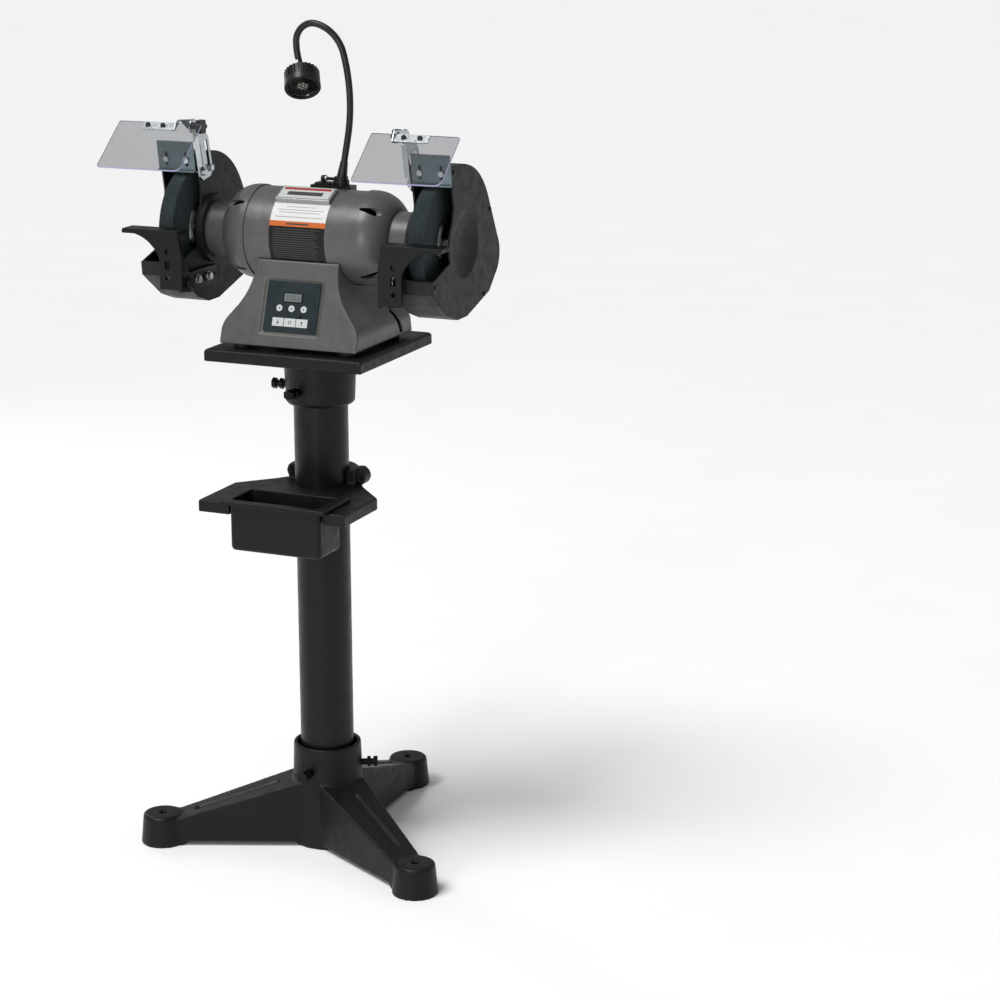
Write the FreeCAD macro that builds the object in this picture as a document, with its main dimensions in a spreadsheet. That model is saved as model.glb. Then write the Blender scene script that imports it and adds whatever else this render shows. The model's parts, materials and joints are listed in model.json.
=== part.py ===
"""Bench grinder on its pedestal stand, with tool tray, water pot, eye shields and a gooseneck lamp.

Millimetres, +Z up. The floor is Z = 0, the column stands on the Z axis, +X runs along the
arbor to the right and -Y is the front, where the control panel is.
Right-hand pieces are drawn once and mirrored for the left-hand side.
"""
import FreeCAD, Part
import math
import os
import Sketcher

Vector = FreeCAD.Vector
Rotation = FreeCAD.Rotation
Placement = FreeCAD.Placement

DIMENSIONS = {
    # stand
    "column_radius": 44.45, "column_bore": 40.5, "column_foot": 40, "column_top": 835,
    "socket_radius": 62, "socket_rim": 56.5, "socket_top": 176, "socket_mouth": 50, "mouth_depth": 26,
    "socket_fit": 44.55, "leg_reach": 280, "leg_turn": -3.7, "pad_foot": 38, "pad_head": 33,
    "pad_rise": 52, "leg_hole": 6, "leg_lift": 8, "leg_root_top": 113, "leg_tip_top": 50,
    "leg_root_half": 43, "leg_tip_half": 25, "leg_groove": 5, "lock_level": 135, "neck_lock_level": 785,
    "plate_length": 277.6, "plate_depth": 267.3, "plate_thick": 20.3, "plate_top": 861.4, "plate_round": 5,
    "plate_rim": 14, "plate_recess": 9,
    "neck_root": 60, "neck_end": 56, "neck_foot": 759,
    # tray and pot
    "tray_top": 626, "tray_thick": 20, "tray_half": 130, "tray_front": -182, "tray_side_end": -62,
    "tray_collar": 60, "collar_front": -4, "collar_rise": 24, "tray_fit": 44.8, "pot_centre": 9, "pot_half": 80,
    "pot_front": -188, "pot_back": -112, "pot_foot": 549, "pot_draft": 3, "pot_wall": 3, "pot_rim": 7,
    "pot_lip": 13, "notch_gap": 3,
    # motor
    "motor_level": 1033.5, "shell_radius": 74, "shell_bore": 70, "shell_half": 95, "bell_rim": 76,
    "bell_flat": 103, "bell_arc": 48.56, "bell_end": 146, "bell_end_radius": 50, "bell_wall": 5,
    "neck_radius": 45, "neck_reach": 180, "bearing_seat": 23.5, "bearing_start": 150.5, "bearing_width": 14,
    "core_half": 35, "stator_bore": 38.6, "rotor_radius": 38, "shaft_radius": 12, "journal_radius": 10,
    "arbor_radius": 7.94, "arbor_shoulder": 201.3, "arbor_end": 244.2, "fan_radius": 58, "fan_start": 66,
    "bell_screw_circle": 68,
    # wheels and guards
    "wheel_centre": 220, "wheel_half": 12.7, "wheel_radius": 101.6, "arbor_hole": 8, "flange_radius": 49,
    "inner_flange": 6, "outer_flange": 4, "nut_thick": 7, "guard_inner": 188, "guard_outer": 254,
    "cover_face": 257, "guard_wall": 3, "guard_arc": 118, "dish_radius": 54, "dish_depth": 9.8,
    "dish_wall": 2, "boss_radius": 56,
    # housing
    "housing_foot": 868.5, "housing_half": 121, "housing_waist": 73, "housing_front": -115,
    "housing_back": 97, "housing_top": 1001, "brow_front": -70, "brow_back": 68, "housing_wall": 4,
    "saddle_radius": 74.3, "panel_lean": 18.7, "recess_half": 52.5, "recess_height": 89,
    "recess_start": 22, "recess_depth": 3, "overlay_half": 46.5, "overlay_height": 81,
    "overlay_start": 26, "overlay_thick": 2.5, "button_radius": 5.3, "button_pitch": 21.5,
    "key_width": 20, "key_height": 13.5, "key_pitch": 21, "press_travel": 1,
    "foot_x": 92, "foot_front": -88, "foot_back": 72,
    # rests, arrestors and shields
    "rest_level": 1047.5, "rest_front": -138, "rest_back": -105, "rest_inner": 177, "rest_outer": 279,
    "rest_thick": 8, "rest_pivot_y": -112, "rest_pivot_z": 961.5, "arrestor_lean": 8,
    "shield_width": 148, "shield_length": 99, "shield_thick": 3, "shield_slope": 40,
    "shield_edge_y": -100, "shield_edge_z": 1211, "pivot_y": -62, "pivot_z": 1204.5,
    "arm_lean": 12.5, "arm_foot_y": -23, "arm_foot_z": 1117.5, "arm_width": 42, "arm_length": 84,
    "arm_thick": 2.8, "slot_half": 4.2,
    # lamp
    "lamp_x": 28.5, "lamp_y": 32, "lamp_seat": 1110, "lamp_hub_top": 1118, "stem_radius": 5.4,
    "head_radius": 26, "bezel_radius": 29, "head_length": 20, "bezel_length": 11,
}

doc = FreeCAD.newDocument("bench_grinder")
sheet = doc.addObject("Spreadsheet::Sheet", "Dims")
for row, (alias, size) in enumerate(DIMENSIONS.items(), start=1):
    sheet.set("A%d" % row, alias)
    sheet.set("B%d" % row, str(size))
    sheet.setAlias("B%d" % row, alias)
doc.recompute()

D = DIMENSIONS
NODES = []
UP = Vector(0, 0, 1)
ALONG = {
    "X": Rotation(Vector(0, 1, 0), 90),
    "Y": Rotation(Vector(1, 0, 0), -90),
    "Z": Rotation(),
}


def text(value):
    """An expression from a number, or from a formula whose names are cells of the sheet."""
    words = str(value)
    for alias in sorted(DIMENSIONS, key=len, reverse=True):
        words = words.replace(alias, "\0%d\0" % list(DIMENSIONS).index(alias))
    for index, alias in enumerate(DIMENSIONS):
        words = words.replace("\0%d\0" % index, "Dims." + alias)
    return words


def number(value):
    """The present value of a number or formula."""
    return float(sheet.evalExpression(text(value)))


def bind(item, **sizes):
    for name, value in sizes.items():
        item.setExpression(name, text(value))
    return item


def put(item, at, turn=None):
    """Places an object; each coordinate is a number or a formula."""
    item.Placement = Placement(Vector(*[number(value) for value in at]), turn or Rotation())
    for axis, value in zip("xyz", at):
        item.setExpression("Placement.Base." + axis, text(value))
    return item


def node(item, name):
    item.Label = name
    NODES.append(item)
    return item


def box(size, at, turn=None):
    item = bind(doc.addObject("Part::Box", "block"), Length=size[0], Width=size[1], Height=size[2])
    return put(item, at, turn)


def rod(radius, length, at, along="Z"):
    item = bind(doc.addObject("Part::Cylinder", "rod"), Radius=radius, Height=length)
    return put(item, at, along if isinstance(along, Rotation) else ALONG[along])


def cone(foot, head, length, at, along="Z"):
    item = bind(doc.addObject("Part::Cone", "cone"), Radius1=foot, Radius2=head, Height=length)
    return put(item, at, along if isinstance(along, Rotation) else ALONG[along])


def hexagon(across_flats, length, at, along="Z"):
    item = doc.addObject("Part::Prism", "hexagon")
    item.Polygon = 6
    bind(item, Circumradius="(%s) / sqrt(3)" % across_flats, Height=length)
    return put(item, at, along if isinstance(along, Rotation) else ALONG[along])


def fuse(*items):
    if len(items) == 1:
        return items[0]
    item = doc.addObject("Part::MultiFuse", "joined")
    item.Shapes = list(items)
    item.Refine = True
    return item


def cut(base, *tools):
    item = doc.addObject("Part::Cut", "cut")
    item.Base = base
    item.Tool = fuse(*tools)
    item.Refine = True
    return item


def common(first, second):
    item = doc.addObject("Part::Common", "common")
    item.Base = first
    item.Tool = second
    return item


def group(*items):
    item = doc.addObject("Part::Compound", "set")
    item.Links = list(items)
    return item


def mirrored(source):
    """The left-hand twin of a right-hand piece."""
    item = doc.addObject("Part::Mirroring", "twin")
    item.Source = source
    item.Base = Vector(0, 0, 0)
    item.Normal = Vector(1, 0, 0)
    return item


def pair(name, piece):
    node(piece, name + "_right")
    node(mirrored(piece), name + "_left")


def arc_through(start, end, radius, turn):
    """The minor arc from start to end; turn is 1 for anticlockwise and -1 for clockwise."""
    first, last = (start, end) if turn > 0 else (end, start)
    chord = last - first
    rise = math.sqrt(max(radius ** 2 - chord.Length ** 2 / 4, 0))
    centre = (first + last) * 0.5 + Vector(-chord.y, chord.x, 0).normalize() * rise
    angles = [math.atan2(point.y - centre.y, point.x - centre.x) for point in (first, last)]
    return Part.ArcOfCircle(Part.Circle(centre, UP, radius), angles[0], angles[1])


def draw(body, plane, outline):
    """A closed sketch on one of the body's own planes.

    Each corner is (x, y), or (x, y, radius, turn) where the edge that starts there is an arc.
    """
    sketch = body.newObject("Sketcher::SketchObject", "outline")
    face = [item for item in body.Origin.OriginFeatures if item.Role == plane + "_Plane"][0]
    sketch.AttachmentSupport = [(face, "")]
    sketch.MapMode = "FlatFace"
    points = [Vector(number(corner[0]), number(corner[1]), 0) for corner in outline]
    starts = []
    ends = []
    for index, corner in enumerate(outline):
        start, end = points[index], points[(index + 1) % len(points)]
        if len(corner) == 2:
            edge = sketch.addGeometry(Part.LineSegment(start, end))
            starts.append((edge, 1))
            ends.append((edge, 2))
            continue
        edge = sketch.addGeometry(arc_through(start, end, number(corner[2]), corner[3]))
        starts.append((edge, 1 if corner[3] > 0 else 2))
        ends.append((edge, 2 if corner[3] > 0 else 1))
        radius = sketch.addConstraint(Sketcher.Constraint("Radius", edge, number(corner[2])))
        sketch.setExpression("Constraints[%d]" % radius, text(corner[2]))
    for index, corner in enumerate(outline):
        last = ends[index - 1]
        sketch.addConstraint(Sketcher.Constraint("Coincident", *last, *starts[index]))
        for kind, value in zip(("DistanceX", "DistanceY"), corner):
            rule = Sketcher.Constraint(kind, -1, 1, *starts[index], number(value))
            place = sketch.addConstraint(rule)
            sketch.setExpression("Constraints[%d]" % place, text(value))
    return sketch


def prism(plane, outline, length, at=(0, 0, 0), turn=None, both_ways=False):
    """An outline padded square to its plane."""
    body = doc.addObject("PartDesign::Body", "body")
    pad = body.newObject("PartDesign::Pad", "pad")
    pad.Profile = draw(body, plane, outline)
    bind(pad, Length=length)
    pad.Midplane = both_ways
    body.Tip = pad
    return put(body, at, turn)


def turned(plane, outline, axis="H_Axis", at=(0, 0, 0), turn=None):
    """An outline revolved about an axis of its sketch."""
    body = doc.addObject("PartDesign::Body", "body")
    sketch = draw(body, plane, outline)
    spin = body.newObject("PartDesign::Revolution", "revolution")
    spin.Profile = sketch
    spin.ReferenceAxis = (sketch, [axis])
    spin.Angle = 360
    body.Tip = spin
    return put(body, at, turn)


def ring(outer, inner, length, at, along="Z"):
    return cut(rod(outer, length, at, along), rod(inner, length, at, along))


def softened(item, radius, wanted):
    """Rounds the edges that a test picks, each to the same radius."""
    doc.recompute()
    fillet = doc.addObject("Part::Fillet", "rounded")
    fillet.Base = item
    chosen = [index for index, edge in enumerate(item.Shape.Edges, start=1) if wanted(edge)]
    fillet.Edges = [(index, number(radius), number(radius)) for index in chosen]
    return fillet


def level(edge, height):
    """True for an edge that lies flat at one height."""
    return abs(edge.BoundBox.ZMin - height) < 0.05 and abs(edge.BoundBox.ZMax - height) < 0.05


def radial(angle, tilt=90):
    """A turn that points a rod's axis outwards from the column at an angle in plan."""
    return Rotation(UP, angle) * Rotation(Vector(0, 1, 0), tilt)


def around(angle, radius, height):
    """A place beside the column, from an angle in plan and a radius formula."""
    return ("(%s) * %.6f" % (radius, math.cos(math.radians(angle))),
            "(%s) * %.6f" % (radius, math.sin(math.radians(angle))), height)


# ---- stand ------------------------------------------------------------------------------------

LEG_ANGLES = [90 + D["leg_turn"], 210 + D["leg_turn"], 330 + D["leg_turn"]]
LOCK_ANGLES = [angle + 60 for angle in LEG_ANGLES]
NECK_LOCK_ANGLES = [184, 258]
BOLT_REACH = 84
BOLT_FLATS = 16


LEG_TIP = "leg_reach - 10"
LEG_ROOT = 30
LEG_SHOULDER = 52
LEG_WALL = 9


def leg(turn, inset=0):
    """One tapered leg, cut from a side view and a plan; an inset gives the hollow under it."""
    root = LEG_ROOT if inset == 0 else D["socket_radius"] + inset
    tip = LEG_TIP if inset == 0 else "leg_reach - 36 - %g" % inset
    foot = "leg_lift" if inset == 0 else "leg_lift - 5"
    slope = (D["leg_root_top"] - D["leg_tip_top"]) / (D["leg_reach"] - 30 - LEG_SHOULDER)
    low = "leg_tip_top - %g" % inset
    high = "leg_root_top - %g" % inset
    if inset == 0:
        side = [(root, foot), ("leg_reach - 36", foot), ("leg_reach - 36", 0), (tip, 0), (tip, low),
                ("leg_reach - 30", low), (LEG_SHOULDER, high), (root, high)]
    else:
        side = [(root, foot), (tip, foot), (tip, "%s + %g" % (low, slope * 10)),
                (root, "%s - %g" % (high, slope * (root - LEG_SHOULDER)))]
    wide = "leg_root_half - %g" % inset
    narrow = "leg_tip_half - %g" % inset
    plan = [(LEG_ROOT, "-(%s)" % wide), (LEG_TIP, "-(%s)" % narrow), (LEG_TIP, narrow), (LEG_ROOT, wide)]
    return common(prism("XZ", side, 120, turn=turn, both_ways=True), prism("XY", plan, 130, turn=turn))


def stand_base():
    parts = [cone("socket_radius", "socket_rim", "socket_top", (0, 0, 0))]
    holes = [rod("socket_fit", "socket_top", (0, 0, "column_foot")),
             rod("socket_mouth", "mouth_depth", (0, 0, "socket_top - mouth_depth")),
             rod("column_bore", "column_foot + 2", (0, 0, -1))]
    fall = math.degrees(math.atan2(D["leg_root_top"] - D["leg_tip_top"], D["leg_reach"] - 82))
    for angle in LEG_ANGLES:
        turn = Rotation(UP, angle)
        parts.append(leg(turn))
        parts.append(softened(cone("pad_foot", "pad_head", "pad_rise", around(angle, "leg_reach", 0)), 5,
                              lambda edge: level(edge, D["pad_rise"])))
        start = around(angle, 80, "leg_root_top - 9 - leg_groove")
        aside = turn.multVec(Vector(0, -8, 0))
        start = ("%s + %.6f" % (start[0], aside.x), "%s + %.6f" % (start[1], aside.y), start[2])
        holes.append(box((150, 16, "2 * leg_groove"), start, turn * Rotation(Vector(0, 1, 0), fall)))
        holes.append(leg(turn, LEG_WALL))
        holes.append(rod("leg_hole", 60, around(angle, "leg_reach", -2)))
    for angle in LOCK_ANGLES:
        holes.append(rod(4.95, 40, around(angle, 35, "lock_level"), radial(angle)))
    node(cut(fuse(*parts), *holes), "stand_base")


def lock_fixings():
    """Square-ended hex screws that clamp the column in its two sockets, each with its jam nut."""
    bolts = []
    nuts = []
    places = [(angle, "lock_level") for angle in LOCK_ANGLES]
    places += [(angle, "neck_lock_level") for angle in NECK_LOCK_ANGLES]
    for angle, height in places:
        turn = radial(angle)
        shank = rod(4.9, BOLT_REACH - 7 - 44.6, around(angle, 44.6, height), turn)
        head = hexagon(BOLT_FLATS, 7, around(angle, BOLT_REACH - 7, height), turn)
        bolts.append(fuse(shank, head))
        nut_start = 66.5 if height == "lock_level" else 65
        nuts.append(cut(hexagon(BOLT_FLATS, 6, around(angle, nut_start, height), turn),
                        rod(4.92, 6, around(angle, nut_start, height), turn)))
    node(group(*bolts), "lock_bolts")
    node(group(*nuts), "jam_nuts")


def column_tube():
    node(ring("column_radius", "column_bore", "column_top - column_foot", (0, 0, "column_foot")),
         "column_tube")


FOOT_PLACES = [(x, y) for x in ("-foot_x", "foot_x") for y in ("foot_front", "foot_back")]


def top_plate():
    slab = softened(box(("plate_length", "plate_depth", "plate_thick"),
                        ("-plate_length / 2", "-plate_depth / 2", "plate_top - plate_thick")), "plate_round",
                    lambda edge: level(edge, D["plate_top"]))
    neck = softened(cone("neck_end", "neck_root", "plate_top - plate_thick / 2 - neck_foot",
                         (0, 0, "neck_foot")), 7, lambda edge: level(edge, D["neck_foot"]))
    recess = cut(box(("plate_length - 2 * plate_rim", "plate_depth - 2 * plate_rim", "plate_recess"),
                     ("plate_rim - plate_length / 2", "plate_rim - plate_depth / 2",
                      "plate_top - plate_thick")),
                 rod("neck_root + 6", 40, (0, 0, "plate_top - 40")),
                 *[rod(15, 40, (x, y, "plate_top - 40")) for x, y in FOOT_PLACES])
    holes = [rod("socket_fit", "column_top - neck_foot", (0, 0, "neck_foot")), recess]
    holes += [rod(4.2, 40, (x, y, "plate_top - 30")) for x, y in FOOT_PLACES]
    holes += [rod(4.95, 40, around(angle, 35, "neck_lock_level"), radial(angle))
              for angle in NECK_LOCK_ANGLES]
    node(cut(fuse(slab, neck), *holes), "top_plate")


# ---- tray and water pot -----------------------------------------------------------------------

TRAY_BOLT_ANGLES = (55, 125)


def tool_tray():
    outline = [("-tray_half", "tray_front"), ("tray_half", "tray_front"), ("tray_half", "tray_side_end"),
               (80, -8), (52, 32), (-52, 32), (-80, -8), ("-tray_half", "tray_side_end")]
    slab = prism("XY", outline, "tray_thick", (0, 0, "tray_top - tray_thick"))
    slab = softened(slab, 3, lambda edge: level(edge, D["tray_top"]))
    ring_wall = rod("tray_collar", "tray_thick + collar_rise", (0, 0, "tray_top - tray_thick"))
    open_side = box((200, 100, 60), (-100, "-100 + collar_front", "tray_top"))
    collar = cut(ring_wall, open_side)
    lugs = [rod(15, 24, (x, 12, "tray_top + 9"), "Y") for x in (-57, 57)]
    notch = box(("2 * (pot_half + notch_gap)", "pot_back - tray_front + notch_gap + 30", 60),
                ("pot_centre - pot_half - notch_gap", "tray_front - 30", "tray_top - 40"))
    bore = rod("tray_fit", 200, (0, 0, "tray_top - 100"))
    bolt_holes = [rod(4.05, 30, around(angle, 40, "tray_top + 8"), radial(angle))
                  for angle in TRAY_BOLT_ANGLES]
    node(cut(fuse(slab, collar, *lugs), notch, bore, *bolt_holes), "tool_tray")
    bolts = []
    for angle in TRAY_BOLT_ANGLES:
        turn = radial(angle)
        shank = rod(4, 30, around(angle, 45.1, "tray_top + 8"), turn)
        bolts.append(fuse(shank, hexagon(13, 6, around(angle, 75.1, "tray_top + 8"), turn)))
    node(group(*bolts), "tray_set_bolts")


def water_pot():
    """An open cast pot that hangs by its rim in the notch of the tray."""
    rim_top = "tray_top + 0.3 + pot_rim"
    outer = box(("2 * pot_half", "pot_back - pot_front", "tray_top - pot_foot + 1"),
                ("pot_centre - pot_half", "pot_front", "pot_foot"))
    rim = box(("2 * (pot_half + pot_lip)", "pot_back - pot_front + 2 * pot_lip - 4", "pot_rim"),
              ("pot_centre - pot_half - pot_lip", "pot_front - pot_lip + 2", "tray_top + 0.3"))
    rim = softened(rim, 2.5, lambda edge: level(edge, number(rim_top)))
    outer = softened(outer, 8, lambda edge: edge.BoundBox.ZLength > 20 or level(edge, D["pot_foot"]))
    inner = box(("2 * (pot_half - pot_wall)", "pot_back - pot_front - 2 * pot_wall", 120),
                ("pot_centre - pot_half + pot_wall", "pot_front + pot_wall", "pot_foot + pot_wall"))
    inner = softened(inner, 6, lambda edge: edge.BoundBox.ZLength > 20
                     or level(edge, D["pot_foot"] + D["pot_wall"]))
    node(cut(fuse(outer, rim), inner), "water_pot")


# ---- housing and controls ---------------------------------------------------------------------

FLARE_LOW = 886
FLARE_BREAK = (112.1, 910.4)
FLARE_TURN = (98, 927.2)
FLARE_HIGH = 996


def flared(inset):
    """The housing's outline seen from the front, and from the side, as one solid, less an inset."""
    front = [("-housing_half + %g" % inset, "housing_foot - 0.01 * %g" % inset),
             ("housing_half - %g" % inset, "housing_foot - 0.01 * %g" % inset),
             ("housing_half - %g" % inset, FLARE_LOW, 38 - inset, 1),
             (FLARE_BREAK[0] - inset * 0.77, FLARE_BREAK[1] - inset * 0.64),
             (FLARE_TURN[0] - inset * 0.77, FLARE_TURN[1] - inset * 0.64, 107 + inset, -1),
             ("housing_waist - %g" % inset, FLARE_HIGH), ("housing_waist - %g" % inset, "housing_top"),
             ("-housing_waist + %g" % inset, "housing_top"),
             ("-housing_waist + %g" % inset, FLARE_HIGH, 107 + inset, -1),
             (-FLARE_TURN[0] + inset * 0.77, FLARE_TURN[1] - inset * 0.64),
             (-FLARE_BREAK[0] + inset * 0.77, FLARE_BREAK[1] - inset * 0.64, 38 - inset, 1),
             ("-housing_half + %g" % inset, FLARE_LOW)]
    side = [("housing_front + %g" % inset, "housing_foot"), ("housing_back - %g" % inset, "housing_foot"),
            ("brow_back - %g" % inset, "housing_top"), ("brow_front + %g" % inset, "housing_top")]
    return common(prism("XZ", front, 300, both_ways=True), prism("YZ", side, 300, both_ways=True))


GLAND_X = 60
GLAND_LEVEL = "housing_foot + 26"
PANEL_TURN = Rotation(Vector(1, 0, 0), 90 - D["panel_lean"])


def on_panel(x, rise, depth):
    """A place on the sloping front: along it in X, up it, and out of it."""
    lean = math.radians(D["panel_lean"])
    return (x, "housing_front + (%s) * %.6f - (%s) * %.6f" % (rise, math.sin(lean), depth, math.cos(lean)),
            "housing_foot + (%s) * %.6f + (%s) * %.6f" % (rise, math.cos(lean), depth, math.sin(lean)))


def panel_block(width, height, thick, x, rise, depth):
    """A block whose width is along X, height up the slope, and thickness out of it."""
    return box((width, height, thick), on_panel(x, rise, depth), PANEL_TURN)


def base_housing():
    shell = flared(0)
    hollow = cut(flared(D["housing_wall"]),
                 rod("saddle_radius + housing_wall", 300, (-150, 0, "motor_level"), "X"))
    saddle = rod("saddle_radius", 300, (-150, 0, "motor_level"), "X")
    recess = panel_block("2 * recess_half", "recess_height", 10, "-recess_half", "recess_start",
                         "-recess_depth")
    backing = panel_block("2 * recess_half + 8", "recess_height + 8", "housing_wall + 2",
                          "-recess_half - 4", "recess_start - 4", "-recess_depth - housing_wall")
    bosses = []
    for x, y in FOOT_PLACES:
        bosses.append(rod(11, 18, (x, y, "housing_foot")))
        outward = x if x == "foot_x" else "-housing_half"
        bosses.append(box(("housing_half - foot_x", 22, 18), (outward, y + " - 11", "housing_foot")))
    posts = [rod(3, 16, on_panel(x, rise, -22.3), PANEL_TURN) for x in (-43, 43) for rise in (33, 99)]
    bolt_holes = [rod(4.1, 15, (x, y, "housing_foot - 1")) for x, y in FOOT_PLACES]
    vents = [box((60, 9, 44), (x, 52, "housing_foot + 4"), Rotation(Vector(1, 0, 0), 28))
             for x in (80, -140)]
    gland_hole = rod(8, 60, (GLAND_X, 60, GLAND_LEVEL), "Y")
    gland_boss = rod(16, 12, (GLAND_X, 83, GLAND_LEVEL), "Y")
    walls = fuse(cut(shell, hollow), common(fuse(backing, *(bosses + posts)), flared(0)), gland_boss)
    node(cut(walls, recess, saddle, gland_hole, *(vents + bolt_holes)), "base_housing")


def mounting():
    """Screws from below the plate into the housing, through rubber feet."""
    screws = []
    feet = []
    for x, y in FOOT_PLACES:
        screws.append(fuse(rod(4, 38, (x, y, "plate_top - plate_thick")),
                           hexagon(13, 5.5, (x, y, "plate_top - plate_thick - 5.5"))))
        feet.append(ring(15, 4.1, "housing_foot - plate_top", (x, y, "plate_top")))
    node(group(*screws), "mounting_screws")
    node(group(*feet), "rubber_feet")


BUTTON_RISE = 64
KEY_RISE = 35
BUTTON_PLACES = [("left", -1), ("middle", 0), ("right", 1)]
KEY_NAMES = [("down", -1), ("stop", 0), ("up", 1)]


def controls():
    plate = panel_block("2 * overlay_half", "overlay_height", "overlay_thick", "-overlay_half",
                        "overlay_start", "-recess_depth")
    openings = []
    floor = "-recess_depth + 0.2 + press_travel"
    thick = "recess_depth - 0.2 - press_travel + 0.6"
    for side, step in BUTTON_PLACES:
        x = "%d * button_pitch" % step
        place = on_panel(x, BUTTON_RISE, "-recess_depth")
        openings.append(rod("button_radius + 0.3", 10, place, PANEL_TURN))
        button = rod("button_radius", thick, on_panel(x, BUTTON_RISE, floor), PANEL_TURN)
        front = button.Shape.BoundBox.YMin + 0.1
        node(softened(button, 0.4, lambda edge: edge.BoundBox.YMin < front), "preset_button_" + side)
    for name, step in KEY_NAMES:
        left = "%d * key_pitch - key_width / 2" % step
        openings.append(panel_block("key_width + 0.6", "key_height + 0.6", 10, left + " - 0.3",
                                    KEY_RISE - 0.3, "-recess_depth"))
        node(panel_block("key_width", "key_height", thick, left, KEY_RISE, floor), name + "_key")
    node(cut(plate, *openings), "control_panel")
    board = panel_block(96, 76, 1.6, -48, 28, -24)
    chips = [panel_block(wide, tall, high, x, rise, -24 - high)
             for wide, tall, high, x, rise in ((26, 20, 10, -40, 34), (14, 30, 14, 10, 38), (18, 12, 6, 28, 80))]
    node(fuse(board, *chips), "circuit_board")


def cable_gland():
    """The threaded gland at the back, where the supply lead goes in."""
    stem = rod(7.95, 16, (GLAND_X, 80, GLAND_LEVEL), "Y")
    nut = hexagon(24, 7, (GLAND_X, 95.2, GLAND_LEVEL), "Y")
    dome = cone(10, 7.5, 10, (GLAND_X, 102, GLAND_LEVEL), "Y")
    bore = rod(4.2, 60, (GLAND_X, 70, GLAND_LEVEL), "Y")
    node(cut(fuse(stem, nut, dome), bore), "cable_gland")


# ---- motor ------------------------------------------------------------------------------------

BELL_ANGLES = [45 + 90 * step for step in range(4)]


def on_circle(angle, circle, x):
    """A place at an angle about the arbor, measured from the back towards the top."""
    return (x, "(%s) * %.6f" % (circle, math.cos(math.radians(angle))),
            "motor_level + (%s) * %.6f" % (circle, math.sin(math.radians(angle))))


def motor_shell():
    tube = ring("shell_radius", "shell_bore", "2 * shell_half", ("-shell_half", 0, "motor_level"), "X")
    lugs = []
    holes = []
    for side in (-1, 1):
        for angle in BELL_ANGLES:
            start = "shell_half - 20.5" if side > 0 else "-shell_half + 6.5"
            lugs.append(rod(5, 14, on_circle(angle, 67.5, start), "X"))
            holes.append(rod(2.55, 40, on_circle(angle, "bell_screw_circle", side * 85 - 20), "X"))
    node(cut(fuse(tube, *lugs), *holes), "motor_shell")


def end_bells():
    """Domed end covers; each carries an arbor bearing in its neck."""
    inner = "bell_arc - bell_wall"
    crown = "bell_rim - bell_arc"
    outline = [("shell_half - 6", "shell_bore - 4"), ("shell_half + 3", "shell_bore - 4"),
               ("shell_half + 3", "bell_rim - bell_wall"), ("bell_flat", "bell_rim - bell_wall", inner, -1),
               ("bell_flat + 37", "%s + sqrt((%s)^2 - 37^2)" % (crown, inner)), ("bell_flat + 37", 30),
               ("bell_end", 30), ("bell_end", 18), ("bearing_start", 18),
               ("bearing_start", "bearing_seat"), ("bearing_start + bearing_width", "bearing_seat"),
               ("bearing_start + bearing_width", 30), ("neck_reach", 30), ("neck_reach", "neck_radius"),
               ("bell_end + 1", "neck_radius"), ("bell_end", "bell_end_radius", "bell_arc", 1),
               ("bell_flat", "bell_rim"), ("shell_half", "bell_rim"), ("shell_half", "shell_bore - 0.1"),
               ("shell_half - 6", "shell_bore - 0.1")]
    bell = turned("XZ", outline, at=(0, 0, "motor_level"))
    seats = [rod(7, 7, on_circle(angle, "bell_screw_circle - 1.5", "shell_half"), "X") for angle in BELL_ANGLES]
    pockets = [rod(6.5, 34, on_circle(angle, "bell_screw_circle + 2", "shell_half + 7"), "X")
               for angle in BELL_ANGLES]
    holes = [rod(2.55, 30, on_circle(angle, "bell_screw_circle", "shell_half - 10"), "X")
             for angle in BELL_ANGLES]
    pair("end_bell", cut(fuse(bell, *seats), *(pockets + holes)))
    screws = []
    for angle in BELL_ANGLES:
        screws.append(fuse(rod(2.5, 22, on_circle(angle, "bell_screw_circle", "shell_half - 15"), "X"),
                           rod(4.4, 3.2, on_circle(angle, "bell_screw_circle", "shell_half + 7"), "X")))
    right = group(*screws)
    node(group(right, mirrored(right)), "end_bell_screws")


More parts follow.
